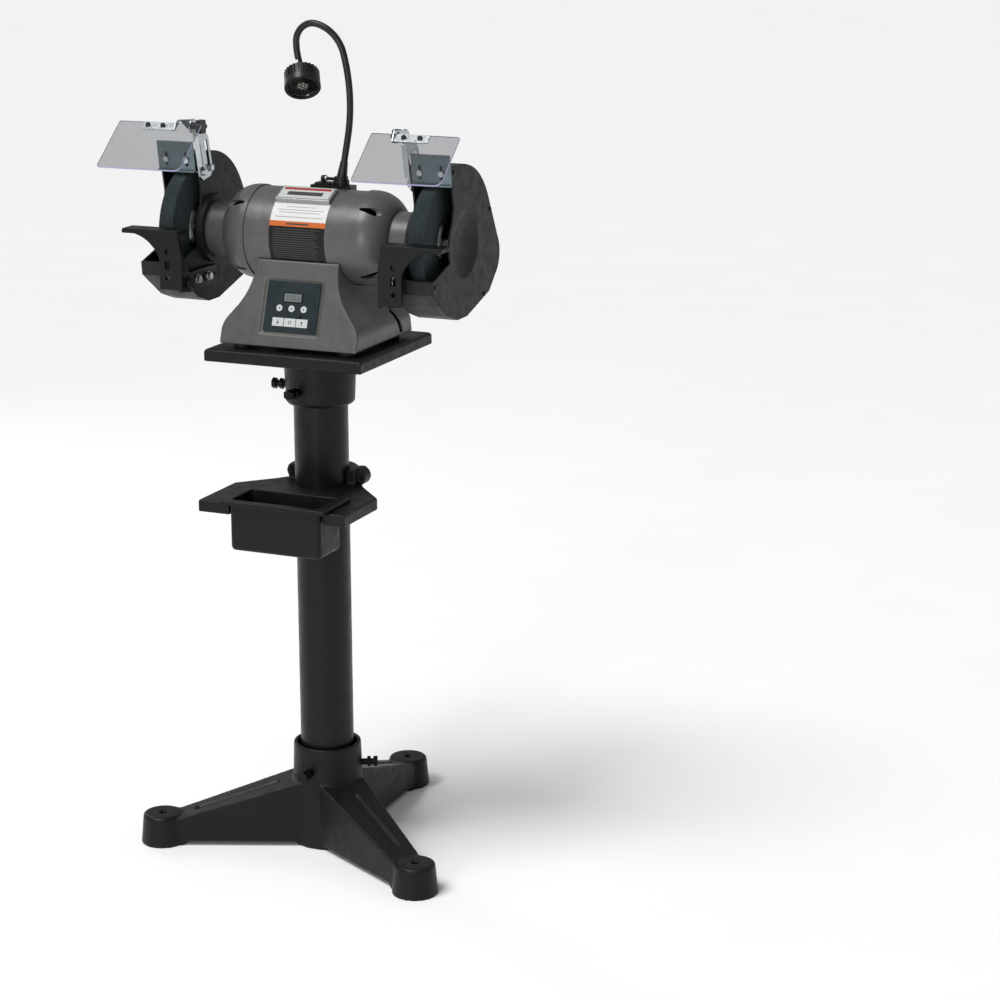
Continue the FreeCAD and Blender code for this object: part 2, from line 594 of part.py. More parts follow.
def motor_inside():
    middle = ("-core_half", 0, "motor_level")
    node(ring("shell_bore - 0.1", "stator_bore", "2 * core_half", middle, "X"), "stator_core")
    coil = softened(ring(64, 44, 22, ("core_half + 0.2", 0, "motor_level"), "X"), 6,
                    lambda edge: edge.BoundBox.XMin > D["core_half"] + 20 and edge.BoundBox.YLength > 10)
    node(group(coil, mirrored(coil)), "stator_windings")
    node(ring("rotor_radius", "shaft_radius + 0.02", "2 * core_half", middle, "X"), "rotor_core")
    half = [(0, 0), ("arbor_end", 0), ("arbor_end", "arbor_radius - 1"), ("arbor_end - 1", "arbor_radius"),
            ("arbor_shoulder", "arbor_radius"), ("arbor_shoulder", "journal_radius"),
            ("bearing_start", "journal_radius"), ("bearing_start", "shaft_radius"), (0, "shaft_radius")]
    shaft = turned("XZ", half, at=(0, 0, "motor_level"))
    node(fuse(shaft, mirrored(shaft)), "arbor_shaft")
    start = ("bearing_start", 0, "motor_level")
    outer = ring("bearing_seat - 0.02", 19.2, "bearing_width", start, "X")
    node(group(outer, mirrored(outer)), "bearing_outer_rings")
    races = [ring(14.4, "journal_radius + 0.02", "bearing_width", start, "X")]
    for step in range(8):
        ball = bind(doc.addObject("Part::Sphere", "ball"), Radius=2.3)
        races.append(put(ball, on_circle(45 * step, 16.8, "bearing_start + bearing_width / 2")))
    balls = group(*races)
    node(group(balls, mirrored(balls)), "bearing_inner_races")
    hub = ring(20, "shaft_radius + 0.02", 16, ("fan_start", 0, "motor_level"), "X")
    disc = ring("fan_radius - 4", "shaft_radius + 0.02", 2, ("fan_start", 0, "motor_level"), "X")
    blades = [box((14, "fan_radius - 19", 2.4), on_circle(60 * step, 18, "fan_start + 1"),
                  Rotation(Vector(1, 0, 0), 60 * step)) for step in range(6)]
    node(fuse(hub, disc, *blades), "cooling_fan")


NAMEPLATE_TILT = 27


def nameplate():
    """A raised plain badge on the upper front of the barrel."""
    turn = Rotation(Vector(1, 0, 0), NAMEPLATE_TILT)
    away = math.radians(90 + NAMEPLATE_TILT)
    plate = softened(box((96, 36, 10), (0, 0, 0)), 2, lambda edge: level(edge, 10))
    plate = put(group(plate), (-48, "70 * %.6f - 18 * %.6f" % (math.cos(away), math.sin(away)),
                               "motor_level + 70 * %.6f + 18 * %.6f" % (math.sin(away), math.cos(away))), turn)
    node(cut(plate, rod("shell_radius + 0.05", 200, (-100, 0, "motor_level"), "X")), "nameplate")


# ---- wheels and guards ------------------------------------------------------------------------

def wheels():
    start = "wheel_centre - wheel_half"
    wheel = softened(ring("wheel_radius", "arbor_hole", "2 * wheel_half", (start, 0, "motor_level"), "X"), 1,
                     lambda edge: edge.BoundBox.ZLength > 190 and edge.BoundBox.XLength < 0.1)
    pair("grinding_wheel", wheel)
    far = "wheel_centre + wheel_half"
    inner = cut(cone("flange_radius - 6", "flange_radius", "inner_flange",
                     ("arbor_shoulder", 0, "motor_level"), "X"),
                rod("arbor_hole", 20, ("arbor_shoulder - 1", 0, "motor_level"), "X"))
    outer = cut(cone("flange_radius", "flange_radius - 4", "outer_flange", (far, 0, "motor_level"), "X"),
                rod("arbor_hole", 20, (far, 0, "motor_level"), "X"))
    node(group(inner, outer, mirrored(inner), mirrored(outer)), "wheel_flanges")
    nut_start = far + " + outer_flange"
    nut = cut(hexagon(24, "nut_thick", (nut_start, 0, "motor_level"), "X"),
              rod("arbor_hole", 20, (nut_start, 0, "motor_level"), "X"))
    node(group(nut, mirrored(nut)), "arbor_nuts")


REAR_TANGENT = math.radians(28)
ARC_MIDDLE = (-8, 8)


def guard_outline(inset, mouth=((-54, -22), (-38, 62), (-50, 126)), sill=-42):
    """The guard seen from its end, in Y and Z about the arbor; inset moves its walls inwards.

    The mouth is the open front edge, from the bottom up, and the sill is the front wall's top.
    """
    radius = D["guard_arc"] - inset
    tangent = (ARC_MIDDLE[0] + radius * math.cos(REAR_TANGENT),
               ARC_MIDDLE[1] + radius * math.sin(REAR_TANGENT))
    brow_y, brow_z = mouth[2]
    return [mouth[0], mouth[1], (brow_y, brow_z - inset),
            (ARC_MIDDLE[0], brow_z - inset, radius, -1), tangent,
            (133.6 - inset, -6, 43, -1), (124 - inset, -66 + inset * 0.3),
            (99 - inset * 0.6, -90 + inset * 0.9), (10, -116 + inset), (-24, -116.5 + inset),
            (-60 + inset * 0.3, -104 + inset), (-117 + inset, -63 + inset * 0.4),
            (-119 + inset, sill)]


def guard_prism(outline, start, length):
    return prism("YZ", outline, length, (start, 0, "motor_level"))


BOWL = "((dish_radius^2 + dish_depth^2) / (2 * dish_depth))"


def ball(radius):
    """A ball whose near side makes the shallow round hollow in a cover."""
    item = bind(doc.addObject("Part::Sphere", "ball"), Radius=radius)
    return put(item, ("cover_face - dish_depth + " + BOWL, 0, "motor_level"))


COVER_SCREWS = [(-39, 117), (101, 42), (77, -91), (-110, -51)]


def wheel_guards():
    depth = "guard_outer - guard_inner"
    body = guard_prism(guard_outline(0), "guard_inner", depth)
    open_front = guard_outline(D["guard_wall"], ((-64, -12), (-48, 62), (-60, 126)), -30)
    hollow = guard_prism(open_front, "guard_inner + guard_wall", depth)
    boss = rod("boss_radius", "guard_inner - neck_reach + 1", ("neck_reach", 0, "motor_level"), "X")
    lugs = [rod(5.5, "guard_outer - guard_inner - 2", ("guard_inner + 1", y, "motor_level + (%g)" % z), "X")
            for y, z in COVER_SCREWS]
    round_edge = rod("dish_radius + 3", "guard_wall", ("guard_inner", 0, "motor_level"), "X")
    bridge = prism("YZ", [(-47.6, 106), (-43.6, 106), (-46.4, 126), (-50.4, 126)], depth,
                   ("guard_inner", 0, "motor_level"))
    holes = [rod(14, 30, (175, 0, "motor_level"), "X")]
    holes += [rod(2.05, 40, ("guard_outer - 20", y, "motor_level + (%g)" % z), "X") for y, z in COVER_SCREWS]
    holes += [rod(3.05, 30, (175, y, z), "X") for y, z in REST_BOLTS + ARM_BOLTS]
    holes += [rod(2.05, 30, on_plate(x, 19.2, -25), PLATE_OUT) for x in ARRESTOR_SCREWS]
    shell = cut(body, hollow)
    pair("wheel_guard", cut(fuse(shell, boss, round_edge, common(fuse(*lugs), body), bridge), *holes))
    dish_back = common(ball(BOWL + " + dish_wall"),
                       rod("dish_radius + 2", 16, ("cover_face - 16", 0, "motor_level"), "X"))
    cover_parts = [guard_prism(guard_outline(0.6), "guard_outer", "cover_face - guard_outer"),
                   rod("dish_radius + 3", "cover_face - guard_outer", ("guard_outer", 0, "motor_level"), "X"),
                   dish_back]
    dish = ball(BOWL)
    sinks = [rod(2.1, 10, ("guard_outer - 2", y, "motor_level + (%g)" % z), "X") for y, z in COVER_SCREWS]
    pair("guard_cover", cut(fuse(*cover_parts), dish, *sinks))
    screws = []
    for y, z in COVER_SCREWS:
        height = "motor_level + (%g)" % z
        screws.append(fuse(rod(2, 16, ("cover_face - 16", y, height), "X"),
                           cone(4.2, 3, 2, ("cover_face", y, height), "X")))
    right = group(*screws)
    node(group(right, mirrored(right)), "cover_screws")


# ---- rests, arrestors and shields -------------------------------------------------------------

REST_BOLTS = [(-75, 961.5), (-40, 961.5)]
REST_SLIDE = 20
ARRESTOR_SCREWS = (206, 242)
ARRESTOR_LEFT = 191.5


def up_arm(across, along):
    """A place on the leaning shield arm: across it, and up it."""
    lean = math.radians(D["arm_lean"])
    return (D["arm_foot_y"] + across * math.cos(lean) - along * math.sin(lean),
            D["arm_foot_z"] + across * math.sin(lean) + along * math.cos(lean))


ARM_BOLTS = [up_arm(-11, 14), up_arm(11, 14)]


PLATE_FOOT = (-49.0, 96)
PLATE_TURN = Rotation(Vector(1, 0, 0), D["arrestor_lean"])
PLATE_OUT = Rotation(Vector(1, 0, 0), 90 + D["arrestor_lean"])


def on_plate(x, rise, out):
    """A place on the leaning spark plate: up it, and out from its back towards the front."""
    lean = math.radians(D["arrestor_lean"])
    back = PLATE_FOOT[0] + 2.5 * math.cos(lean)
    return (x, back - rise * math.sin(lean) - out * math.cos(lean),
            "motor_level + %.4f" % (PLATE_FOOT[1] + rise * math.cos(lean) - out * math.sin(lean)))


def spark_arrestors():
    """A flat plate over the top of the wheel, slotted so that it follows the wheel as it wears."""
    plate = box((66, 2.5, 48), (0, 0, 0))
    lip = box((66, 7, 2.5), (0, -4.5, 0))
    slots = []
    for x in ARRESTOR_SCREWS:
        left = x - ARRESTOR_LEFT
        slots += [box((4.8, 10, 18), (left - 2.4, -3, 11)), rod(2.4, 10, (left, -3, 11), "Y"),
                  rod(2.4, 10, (left, -3, 29), "Y")]
    whole = group(cut(fuse(plate, lip), *slots))
    pair("spark_arrestor", put(whole, (ARRESTOR_LEFT, PLATE_FOOT[0], "motor_level + %g" % PLATE_FOOT[1]),
                               PLATE_TURN))


def tool_rests():
    """A slotted bracket on the guard's inner wall, and a cast table that tilts on it."""
    bracket = fuse(box((7.6, 100, 30), (179.9, "rest_pivot_y", 946.5)),
                   rod(15, 7.6, (179.9, "rest_pivot_y", "rest_pivot_z"), "X"))
    slots = []
    for y, z in REST_BOLTS:
        slots += [box((20, REST_SLIDE, 6.6), (175, y, z - 3.3)), rod(3.3, 20, (175, y, z), "X"),
                  rod(3.3, 20, (175, y + REST_SLIDE, z), "X")]
    pivot_hole = rod(5.05, 20, (175, "rest_pivot_y", "rest_pivot_z"), "X")
    pair("rest_bracket", cut(bracket, *slots, pivot_hole))
    table = box(("rest_outer - rest_inner", "rest_back - rest_front", "rest_thick"),
                ("rest_inner", "rest_front", "rest_level - rest_thick"))
    table = softened(table, 2, lambda edge: level(edge, D["rest_level"]))
    under = "rest_level - rest_thick + 1"
    arm = prism("XZ", [(172, 953), (212, 953), (212, 1002, 62, -1), ("rest_outer - 4", under),
                       ("rest_inner + 1", under), (172, 1010)], 8, at=(0, "rest_front + 8", 0))
    ear = prism("YZ", [("rest_front + 1", 950), (-110, 946), (-98, 952), (-98, 971), (-112, 977),
                       ("rest_front + 1", 1010)], 7.6, at=(172, 0, 0))
    holes = [rod(4.2, 20, (198, "rest_front - 5", z), "Y") for z in (1014, 972)]
    holes += [box((8.4, 20, 14), (193.8, "rest_front - 5", 985))]
    pin = fuse(rod(5, 21, (166.4, "rest_pivot_y", "rest_pivot_z"), "X"),
               hexagon(16, 6, (166, "rest_pivot_y", "rest_pivot_z"), "X"))
    pair("tool_rest", fuse(cut(fuse(table, arm, ear), *holes), pin))


def guard_bolts():
    """Zinc bolts that hold the rest brackets, the shield arms and the spark plates to the guards."""
    bolts = []
    for y, z in REST_BOLTS:
        bolts.append(fuse(rod(3, 16, (178.5, y, z), "X"), rod(7.5, 1.5, (178.1, y, z), "X"),
                          hexagon(11, 5, (173.2, y, z), "X")))
    for y, z in ARM_BOLTS:
        bolts.append(fuse(rod(3, 12, (183.5, y, z), "X"), rod(6, 1.2, (183.4, y, z), "X"),
                          hexagon(10, 4.4, (179.1, y, z), "X")))
    for x in ARRESTOR_SCREWS:
        bolts.append(fuse(rod(2, 12, on_plate(x, 19.2, -8), PLATE_OUT),
                          rod(4.6, 3, on_plate(x, 19.2, 2.9), PLATE_OUT)))
    right = group(*bolts)
    node(group(right, mirrored(right)), "guard_bolts")


SHIELD_DOWN = (-math.cos(math.radians(D["shield_slope"])), -math.sin(math.radians(D["shield_slope"])))
SHIELD_OUT = (SHIELD_DOWN[1], -SHIELD_DOWN[0])


def on_shield(down, out):
    """A place on the shield's underside, in Y and Z: down its slope, and out of it."""
    return (D["shield_edge_y"] + down * SHIELD_DOWN[0] + out * SHIELD_OUT[0],
            D["shield_edge_z"] + down * SHIELD_DOWN[1] + out * SHIELD_OUT[1])


def eye_shields():
    """A clear shield on a hinge plate, an arm that slides up and down, and the knob that locks it."""
    lean = Rotation(Vector(1, 0, 0), D["arm_lean"])
    half = D["arm_width"] / 2
    blade = prism("YZ", [(-half, 9), (-half + 9, 0), (half - 9, 0), (half, 9), (half, "arm_length - 22"),
                         (8, "arm_length"), (-half, "arm_length")], "arm_thick",
                  (184.9, "arm_foot_y", "arm_foot_z"), lean)
    lug = rod(12, "arm_thick", (184.9, "pivot_y", "pivot_z"), "X")
    front = up_arm(-half, 26)
    flange = box((9, 2, 52), (178.7, front[0], front[1]), lean)
    slots = []
    for across in (-11, 11):
        foot = up_arm(across, 12)
        side = up_arm(across - D["slot_half"], 12)
        head = up_arm(across, 58)
        slots += [box((20, "2 * slot_half", 46), (175, side[0], side[1]), lean),
                  rod("slot_half", 20, (175, foot[0], foot[1]), "X"),
                  rod("slot_half", 20, (175, head[0], head[1]), "X")]
    stud_hole = rod(3.05, 40, (170, "pivot_y", "pivot_z"), "X")
    pair("shield_arm", cut(fuse(blade, lug, flange), *slots, stud_hole))
    clear = D["shield_thick"] + 0.02
    ear = prism("YZ", [on_shield(17, clear), on_shield(17, clear + 3), on_shield(1, clear + 9),
                       (D["pivot_y"], D["pivot_z"] + 11), (D["pivot_y"] + 10, D["pivot_z"]),
                       (D["pivot_y"], D["pivot_z"] - 10), on_shield(-6, clear)], 2.5, (188.2, 0, 0))
    slope = Rotation(Vector(1, 0, 0), 180 + D["shield_slope"])
    corner = on_shield(1, clear + 2)
    strip = box((60, 16, 2), (188.2, corner[0], corner[1]), slope)
    pair("shield_hinge", cut(fuse(ear, strip), stud_hole))
    edge = on_shield(0, D["shield_thick"])
    front = on_shield(D["shield_length"] - 1, 0)[0]

    def pane(cut_corner):
        """The sheet, with small round corners and one big one, at its front on the chosen side."""
        sheet = box(("shield_width", "shield_length", "shield_thick"),
                    ("222 - shield_width / 2", edge[0], edge[1]), slope)

        def is_big(side):
            return side.BoundBox.YMin < front + 1 and (side.BoundBox.XMin - 222) * cut_corner > 0

        rounded = softened(sheet, 12, lambda side: is_corner(side) and is_big(side))
        return softened(rounded, 3.5, lambda side: is_corner(side) and not is_big(side)
                        and side.Curve.TypeId == "Part::GeomLine" and is_outer(side))

    def is_corner(side):
        return abs(side.Length - D["shield_thick"]) < 0.01

    def is_outer(side):
        return abs(abs(side.BoundBox.XMin - 222) - D["shield_width"] / 2) < 0.01 and (
            side.BoundBox.YMin < front + 1 or side.BoundBox.YMax > edge[0] - 6)

    node(pane(1), "eye_shield_right")
    node(mirrored(pane(-1)), "eye_shield_left")
    knob = fuse(rod(3, 21, (171, "pivot_y", "pivot_z"), "X"), rod(6, 8.5, (176, "pivot_y", "pivot_z"), "X"),
                rod(9, 10, (167, "pivot_y", "pivot_z"), "X"))
    lobes = []
    for step in range(6):
        angle = math.radians(60 * step)
        lobes.append(rod(3.4, 10, (167, "pivot_y + 8.6 * %.6f" % math.cos(angle),
                                   "pivot_z + 8.6 * %.6f" % math.sin(angle)), "X"))
    pair("shield_knob", fuse(knob, *lobes))


# ---- lamp -------------------------------------------------------------------------------------

NECK_RUN = 69
NECK_LEAN = 10.5
NECK_BENDS = [(300, -15), (63, -77), (30, -180), (110, -202)]
HEAD_AXIS = Vector(0.358, -0.6, -0.716)
HEAD_GAP = 9


def neck_path():
    """The gooseneck's centre line, a straight run and tangent bends in the plane of the lamp."""
    level_y = D["lamp_y"]
    lean = math.radians(NECK_LEAN)
    start = Vector(D["lamp_x"], level_y, D["lamp_hub_top"] + 0.3)
    here = start + Vector(math.sin(lean), 0, math.cos(lean)) * NECK_RUN
    edges = [Part.LineSegment(start, here).toShape()]

    def along(place, radius, first, last):
        return place + Vector(math.cos(last) - math.cos(first), 0, math.sin(first) - math.sin(last)) * radius

    for radius, degrees in NECK_BENDS:
        end = math.radians(degrees)
        steps = [lean, (lean * 3 + end) / 4, (lean + end) / 2, (lean + end * 3) / 4, end]
        places = [along(here, radius, lean, step) for step in steps]
        edges.append(Part.Arc(places[0], places[1], places[2]).toShape())
        edges.append(Part.Arc(places[2], places[3], places[4]).toShape())
        here = places[-1]
        lean = end
    return edges, here


def lamp():
    base = box((72, 28, 26), (-22, "lamp_y - 14", "lamp_seat - 26"))
    base = softened(base, 4, lambda edge: edge.BoundBox.ZLength > 20)
    boss = rod(13, "lamp_hub_top - lamp_seat + 2", ("lamp_x", "lamp_y", "lamp_seat - 2"))
    step = box((26, 22, 5), (-14, "lamp_y - 11", "lamp_seat - 1"))
    saddle = rod("shell_radius + 0.05", 200, (-100, 0, "motor_level"), "X")
    node(cut(fuse(base, boss, step), saddle), "lamp_base")
    edges, end = neck_path()
    line = Part.Wire(edges)
    start = edges[0].Vertexes[0].Point
    facing = Vector(math.sin(math.radians(NECK_LEAN)), 0, math.cos(math.radians(NECK_LEAN)))
    section = Part.Wire([Part.makeCircle(D["stem_radius"], start, facing)])
    tube = doc.addObject("Part::Feature", "tube")
    tube.Shape = line.makePipeShell([section], True, False)
    print("gooseneck", round(line.Length), "mm, volume ratio",
          round(tube.Shape.Volume / (line.Length * math.pi * D["stem_radius"] ** 2), 4))
    sleeve = cone(9, 6.2, 30, ("lamp_x", "lamp_y", "lamp_hub_top + 0.3"),
                  Rotation(Vector(0, 1, 0), NECK_LEAN))
    foot = rod(11, 6, ("lamp_x", "lamp_y", "lamp_hub_top + 0.3"))
    trim = box((60, 60, 20), ("lamp_x - 30", "lamp_y - 30", "lamp_hub_top + 0.3 - 20"))
    eye = rod(7, 6, (end.x - 3, end.y, end.z), "X")
    flats = [box((12, 30, 27), (end.x + side, end.y - 15, end.z - 13.5)) for side in (-15, 3)]
    pin_hole = rod(2.05, 20, (end.x - 10, end.y, end.z), "X")
    node(cut(fuse(tube, sleeve, foot, eye), trim, pin_hole, *flats), "lamp_gooseneck")
    aim = Rotation(UP, HEAD_AXIS)

    def down_axis(distance):
        place = end + HEAD_AXIS * (distance / HEAD_AXIS.Length)
        return (place.x, place.y, place.z)

    bezel_start = HEAD_GAP + D["head_length"]
    face = bezel_start + D["bezel_length"]
    can = fuse(rod("head_radius", "head_length", down_axis(HEAD_GAP), aim),
               rod("bezel_radius", "bezel_length", down_axis(bezel_start), aim))
    can = cut(can, rod("bezel_radius - 5", 6, down_axis(face - 5), aim))
    droop = Rotation(Vector(1, 0, 0), 90 + math.degrees(math.atan2(-HEAD_AXIS.z, -HEAD_AXIS.y)))
    corner = end + droop.multVec(Vector(0, -6, 0))
    cheeks = [fuse(rod(6, 4, (end.x + side, end.y, end.z), "X"),
                   box((4, 12, 16), (end.x + side, corner.y, corner.z), droop)) for side in (-7.4, 3.4)]
    cheeks = [common(cheek, rod(40, 60, down_axis(HEAD_GAP + 2 - 60), aim)) for cheek in cheeks]
    pin = rod(2, 14.8, (end.x - 7.4, end.y, end.z), "X")
    node(fuse(can, pin, *cheeks), "lamp_head")
    node(rod("bezel_radius - 5.1", 2.5, down_axis(face - 4.9), aim), "lamp_lens")


stand_base()
lock_fixings()
column_tube()
top_plate()
tool_tray()
water_pot()
base_housing()
mounting()
controls()
cable_gland()
motor_shell()
end_bells()
motor_inside()
nameplate()
wheels()
wheel_guards()
spark_arrestors()
tool_rests()
guard_bolts()
eye_shields()
lamp()
doc.recompute()

for item in doc.Objects:
    if {"Invalid", "Error"} & set(item.State):
        raise RuntimeError("%s (%s) failed: %s" % (item.Name, item.Label, item.State))
for item in NODES:
    if item.Shape.isNull() or not item.Shape.isValid():
        raise RuntimeError(item.Label + " has no valid shape")

os.makedirs("parts", exist_ok=True)
for item in NODES:
    item.Shape.exportStep("parts/%s.step" % item.Label)
print(len(NODES), "sub-parts written")
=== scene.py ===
"""Visual model of the pedestal bench grinder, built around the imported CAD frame.

Metres, +Z up, the floor at Z = 0, the arbor along X, the control panel on the -Y side.
"""
import json
import math

import bmesh
import bpy
from mathutils import Matrix, Vector


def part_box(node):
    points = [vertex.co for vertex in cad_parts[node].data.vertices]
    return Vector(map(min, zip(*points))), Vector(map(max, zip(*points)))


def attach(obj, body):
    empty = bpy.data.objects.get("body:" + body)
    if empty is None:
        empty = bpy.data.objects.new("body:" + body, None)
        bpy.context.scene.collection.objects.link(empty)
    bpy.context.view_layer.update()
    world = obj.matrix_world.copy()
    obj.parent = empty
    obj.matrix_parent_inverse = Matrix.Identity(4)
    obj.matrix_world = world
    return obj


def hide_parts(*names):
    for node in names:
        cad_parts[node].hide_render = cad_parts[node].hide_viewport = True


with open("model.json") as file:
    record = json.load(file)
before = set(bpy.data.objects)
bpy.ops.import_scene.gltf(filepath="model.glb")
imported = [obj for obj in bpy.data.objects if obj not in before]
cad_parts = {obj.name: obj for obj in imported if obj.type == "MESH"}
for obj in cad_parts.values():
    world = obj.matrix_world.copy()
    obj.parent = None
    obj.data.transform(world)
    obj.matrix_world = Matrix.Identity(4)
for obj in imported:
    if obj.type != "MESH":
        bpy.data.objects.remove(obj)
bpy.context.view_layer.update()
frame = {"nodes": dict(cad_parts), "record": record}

MM = 0.001
SCENE = bpy.context.scene
SIDES = ("right", "left")
BODY_OF = {name: body for body, names in frame["record"]["behaviour"]["bodies"].items() for name in names}
SLOT_OF = {row["node"]: row["material_slot"] for row in frame["record"]["subparts"]}

# The degrees between two faces over which the edge between them counts as sharp.
DETAIL_ANGLE = 32        # small details
EDGE_ANGLE = 35          # finished copies, whose sharp edges are rounded too
COVER_RIM_ANGLE = 14     # guard covers, because the rim of their dish is shallow


# ---- materials --------------------------------------------------------------------------------

class Shader:
    """A small helper that builds one node material."""

    def __init__(self, name):
        self.material = bpy.data.materials.new(name)
        self.material.use_nodes = True
        self.tree = self.material.node_tree
        self.tree.nodes.clear()
        self.output = self.tree.nodes.new("ShaderNodeOutputMaterial")
        self.bsdf = self.tree.nodes.new("ShaderNodeBsdfPrincipled")
        self.tree.links.new(self.bsdf.outputs[0], self.output.inputs[0])
        self.place = self.tree.nodes.new("ShaderNodeTexCoord").outputs["Object"]

    def add(self, kind, settings=None, **inputs):
        """A new node with its settings and inputs filled in."""
        item = self.tree.nodes.new("ShaderNode" + kind)
        for key, value in (settings or {}).items():
            setattr(item, key, value)
        for key, value in inputs.items():
            self.feed(item.inputs[key.replace("_", " ")], value)
        return item

    def feed(self, socket, value):
        """Gives a socket a link or a plain value."""
        if isinstance(value, bpy.types.NodeSocket):
            self.tree.links.new(value, socket)
        else:
            socket.default_value = value

    def noise(self, scale, detail=4, roughness=0.55, stretch=None):
        """Cloudy noise from 0 to 1, mostly near the middle."""
        source = self.place
        if stretch:
            source = self.add("Mapping", Vector=source, Scale=stretch).outputs[0]
        item = self.add("TexNoise", Vector=source, Scale=scale, Detail=detail, Roughness=roughness)
        return item.outputs["Fac"]

    def ramp(self, source, stops):
        """Colours along a value, from (position, colour) pairs."""
        item = self.add("ValToRGB", Fac=source)
        band = item.color_ramp
        while len(band.elements) < len(stops):
            band.elements.new(0.5)
        for element, (position, colour) in zip(band.elements, stops):
            element.position = position
            element.color = rgb(*colour)
        return item.outputs[0]

    def span(self, source, low, high, start=0.0, end=1.0):
        """Stretches start..end of a value onto low..high, and holds it there outside."""
        item = self.add("MapRange", Value=source)
        for index, value in enumerate((start, end, low, high), start=1):
            item.inputs[index].default_value = value
        return item.outputs[0]

    def mix(self, share, first, second):
        """The first colour where share is 0, and the second where it is 1."""
        item = self.tree.nodes.new("ShaderNodeMix")
        item.data_type = "RGBA"
        self.feed(item.inputs[0], share)
        self.feed(item.inputs[6], first)
        self.feed(item.inputs[7], second)
        return item.outputs[2]

    def maths(self, kind, first, second=0.0):
        item = self.tree.nodes.new("ShaderNodeMath")
        item.operation = kind
        self.feed(item.inputs[0], first)
        self.feed(item.inputs[1], second)
        return item.outputs[0]

    def bump(self, height, distance, strength=1.0, under=None):
        """A surface normal from a height, over another one where given."""
        item = self.add("Bump", Height=height, Distance=distance, Strength=strength)
        if under is not None:
            self.feed(item.inputs["Normal"], under)
        return item.outputs[0]

    def edges(self):
        """About 1 on sharp outer edges, where a finish wears first."""
        return self.span(self.add("NewGeometry").outputs["Pointiness"], 0.0, 1.0, 0.52, 0.62)

    def set(self, **inputs):
        """Fills in the surface's inputs and hands over the material."""
        for key, value in inputs.items():
            self.feed(self.bsdf.inputs[key.replace("_", " ")], value)
        return self.material


def rgb(*values):
    """A colour with full opacity."""
    return (*values, 1.0)


def cast_paint(name, colour, worn, rough, grain, grain_height, dust, gloss, wear=0.5):
    """Enamel over a sand casting: fine pebbled skin, slow swells, dull patches and worn edges, with a
    painted highlight on the crests of the skin.
    """
    kit = Shader(name)
    patch = kit.noise(14, 5)
    fine = kit.noise(grain, 6, 0.65)
    tint = kit.mix(kit.span(patch, 0.0, 1.0, 0.3, 0.7), rgb(*[c * 0.94 for c in colour]),
                   rgb(*[c * 1.06 for c in colour]))
    # Painted highlight: the crests of the pebbled skin are lightened as if they catch the light. They come
    # from the same noise as the skin's bump.
    speck = kit.span(fine, 0.0, 1.0, 0.45, 0.72)
    tint = kit.mix(kit.maths("MULTIPLY", speck, 0.25), tint, rgb(*[c * 1.5 for c in colour]))
    scuff = kit.maths("MULTIPLY", kit.edges(), kit.span(kit.noise(90, 3), 0.0, 1.0, 0.45, 0.6))
    tint = kit.mix(kit.maths("MULTIPLY", scuff, wear), tint, rgb(*worn))
    grey = kit.span(kit.noise(6, 4), 0.0, dust, 0.45, 0.75)
    tint = kit.mix(grey, tint, rgb(0.2, 0.195, 0.185))
    swell = kit.bump(kit.noise(28, 2), 0.0012, 0.35)
    skin = kit.bump(fine, grain_height, 1.0, swell)
    shine = kit.span(kit.noise(55, 5), rough - 0.07, rough + 0.12, 0.3, 0.7)
    return kit.set(Base_Color=tint, Roughness=shine, Normal=skin, Specular_IOR_Level=gloss)


def smooth_paint(name, colour, rough):
    """Semi-gloss paint on drawn steel, with faint drag lines and a slight orange peel."""
    kit = Shader(name)
    drag = (1, 1, 0.06)
    lines = kit.noise(420, 3, 0.5, stretch=drag)
    blotch = kit.noise(9, 4)
    tint = kit.mix(blotch, rgb(*[c * 0.88 for c in colour]), rgb(*[c * 1.12 for c in colour]))
    rub = kit.maths("MULTIPLY", kit.span(lines, 0.0, 0.5, 0.6, 0.75), kit.span(blotch, 0.0, 1.0, 0.5, 0.7))
    tint = kit.mix(rub, tint, rgb(*[c * 2.2 for c in colour]))
    peel = kit.bump(kit.noise(260, 2), 0.00012, 0.6, kit.bump(lines, 0.00005, 0.5))
    shine = kit.span(kit.noise(30, 5), rough - 0.05, rough + 0.1, 0.35, 0.7)
    return kit.set(Base_Color=tint, Roughness=shine, Normal=peel, Specular_IOR_Level=0.22)


def metal(name, colour, rough, grain=300, stretch=(1, 1, 1), mottle=0.25, height=0.00004, dark=0.35):
    """Bare or plated metal, with a grain, mottled tone, and grime where it doesn't rub."""
    kit = Shader(name)
    lines = kit.noise(grain, 4, 0.6, stretch=stretch)
    cloud = kit.noise(40, 5)
    tint = kit.mix(cloud, rgb(*[c * (1 - mottle) for c in colour]),
                   rgb(*[min(1, c * (1 + mottle)) for c in colour]))
    grime = kit.span(kit.noise(120, 4), 0.0, dark, 0.55, 0.8)
    tint = kit.mix(grime, tint, rgb(*[c * 0.35 for c in colour]))
    shine = kit.span(lines, rough - 0.08, rough + 0.14, 0.3, 0.7)
    return kit.set(Base_Color=tint, Roughness=shine, Metallic=1.0, Normal=kit.bump(lines, height, 0.8))


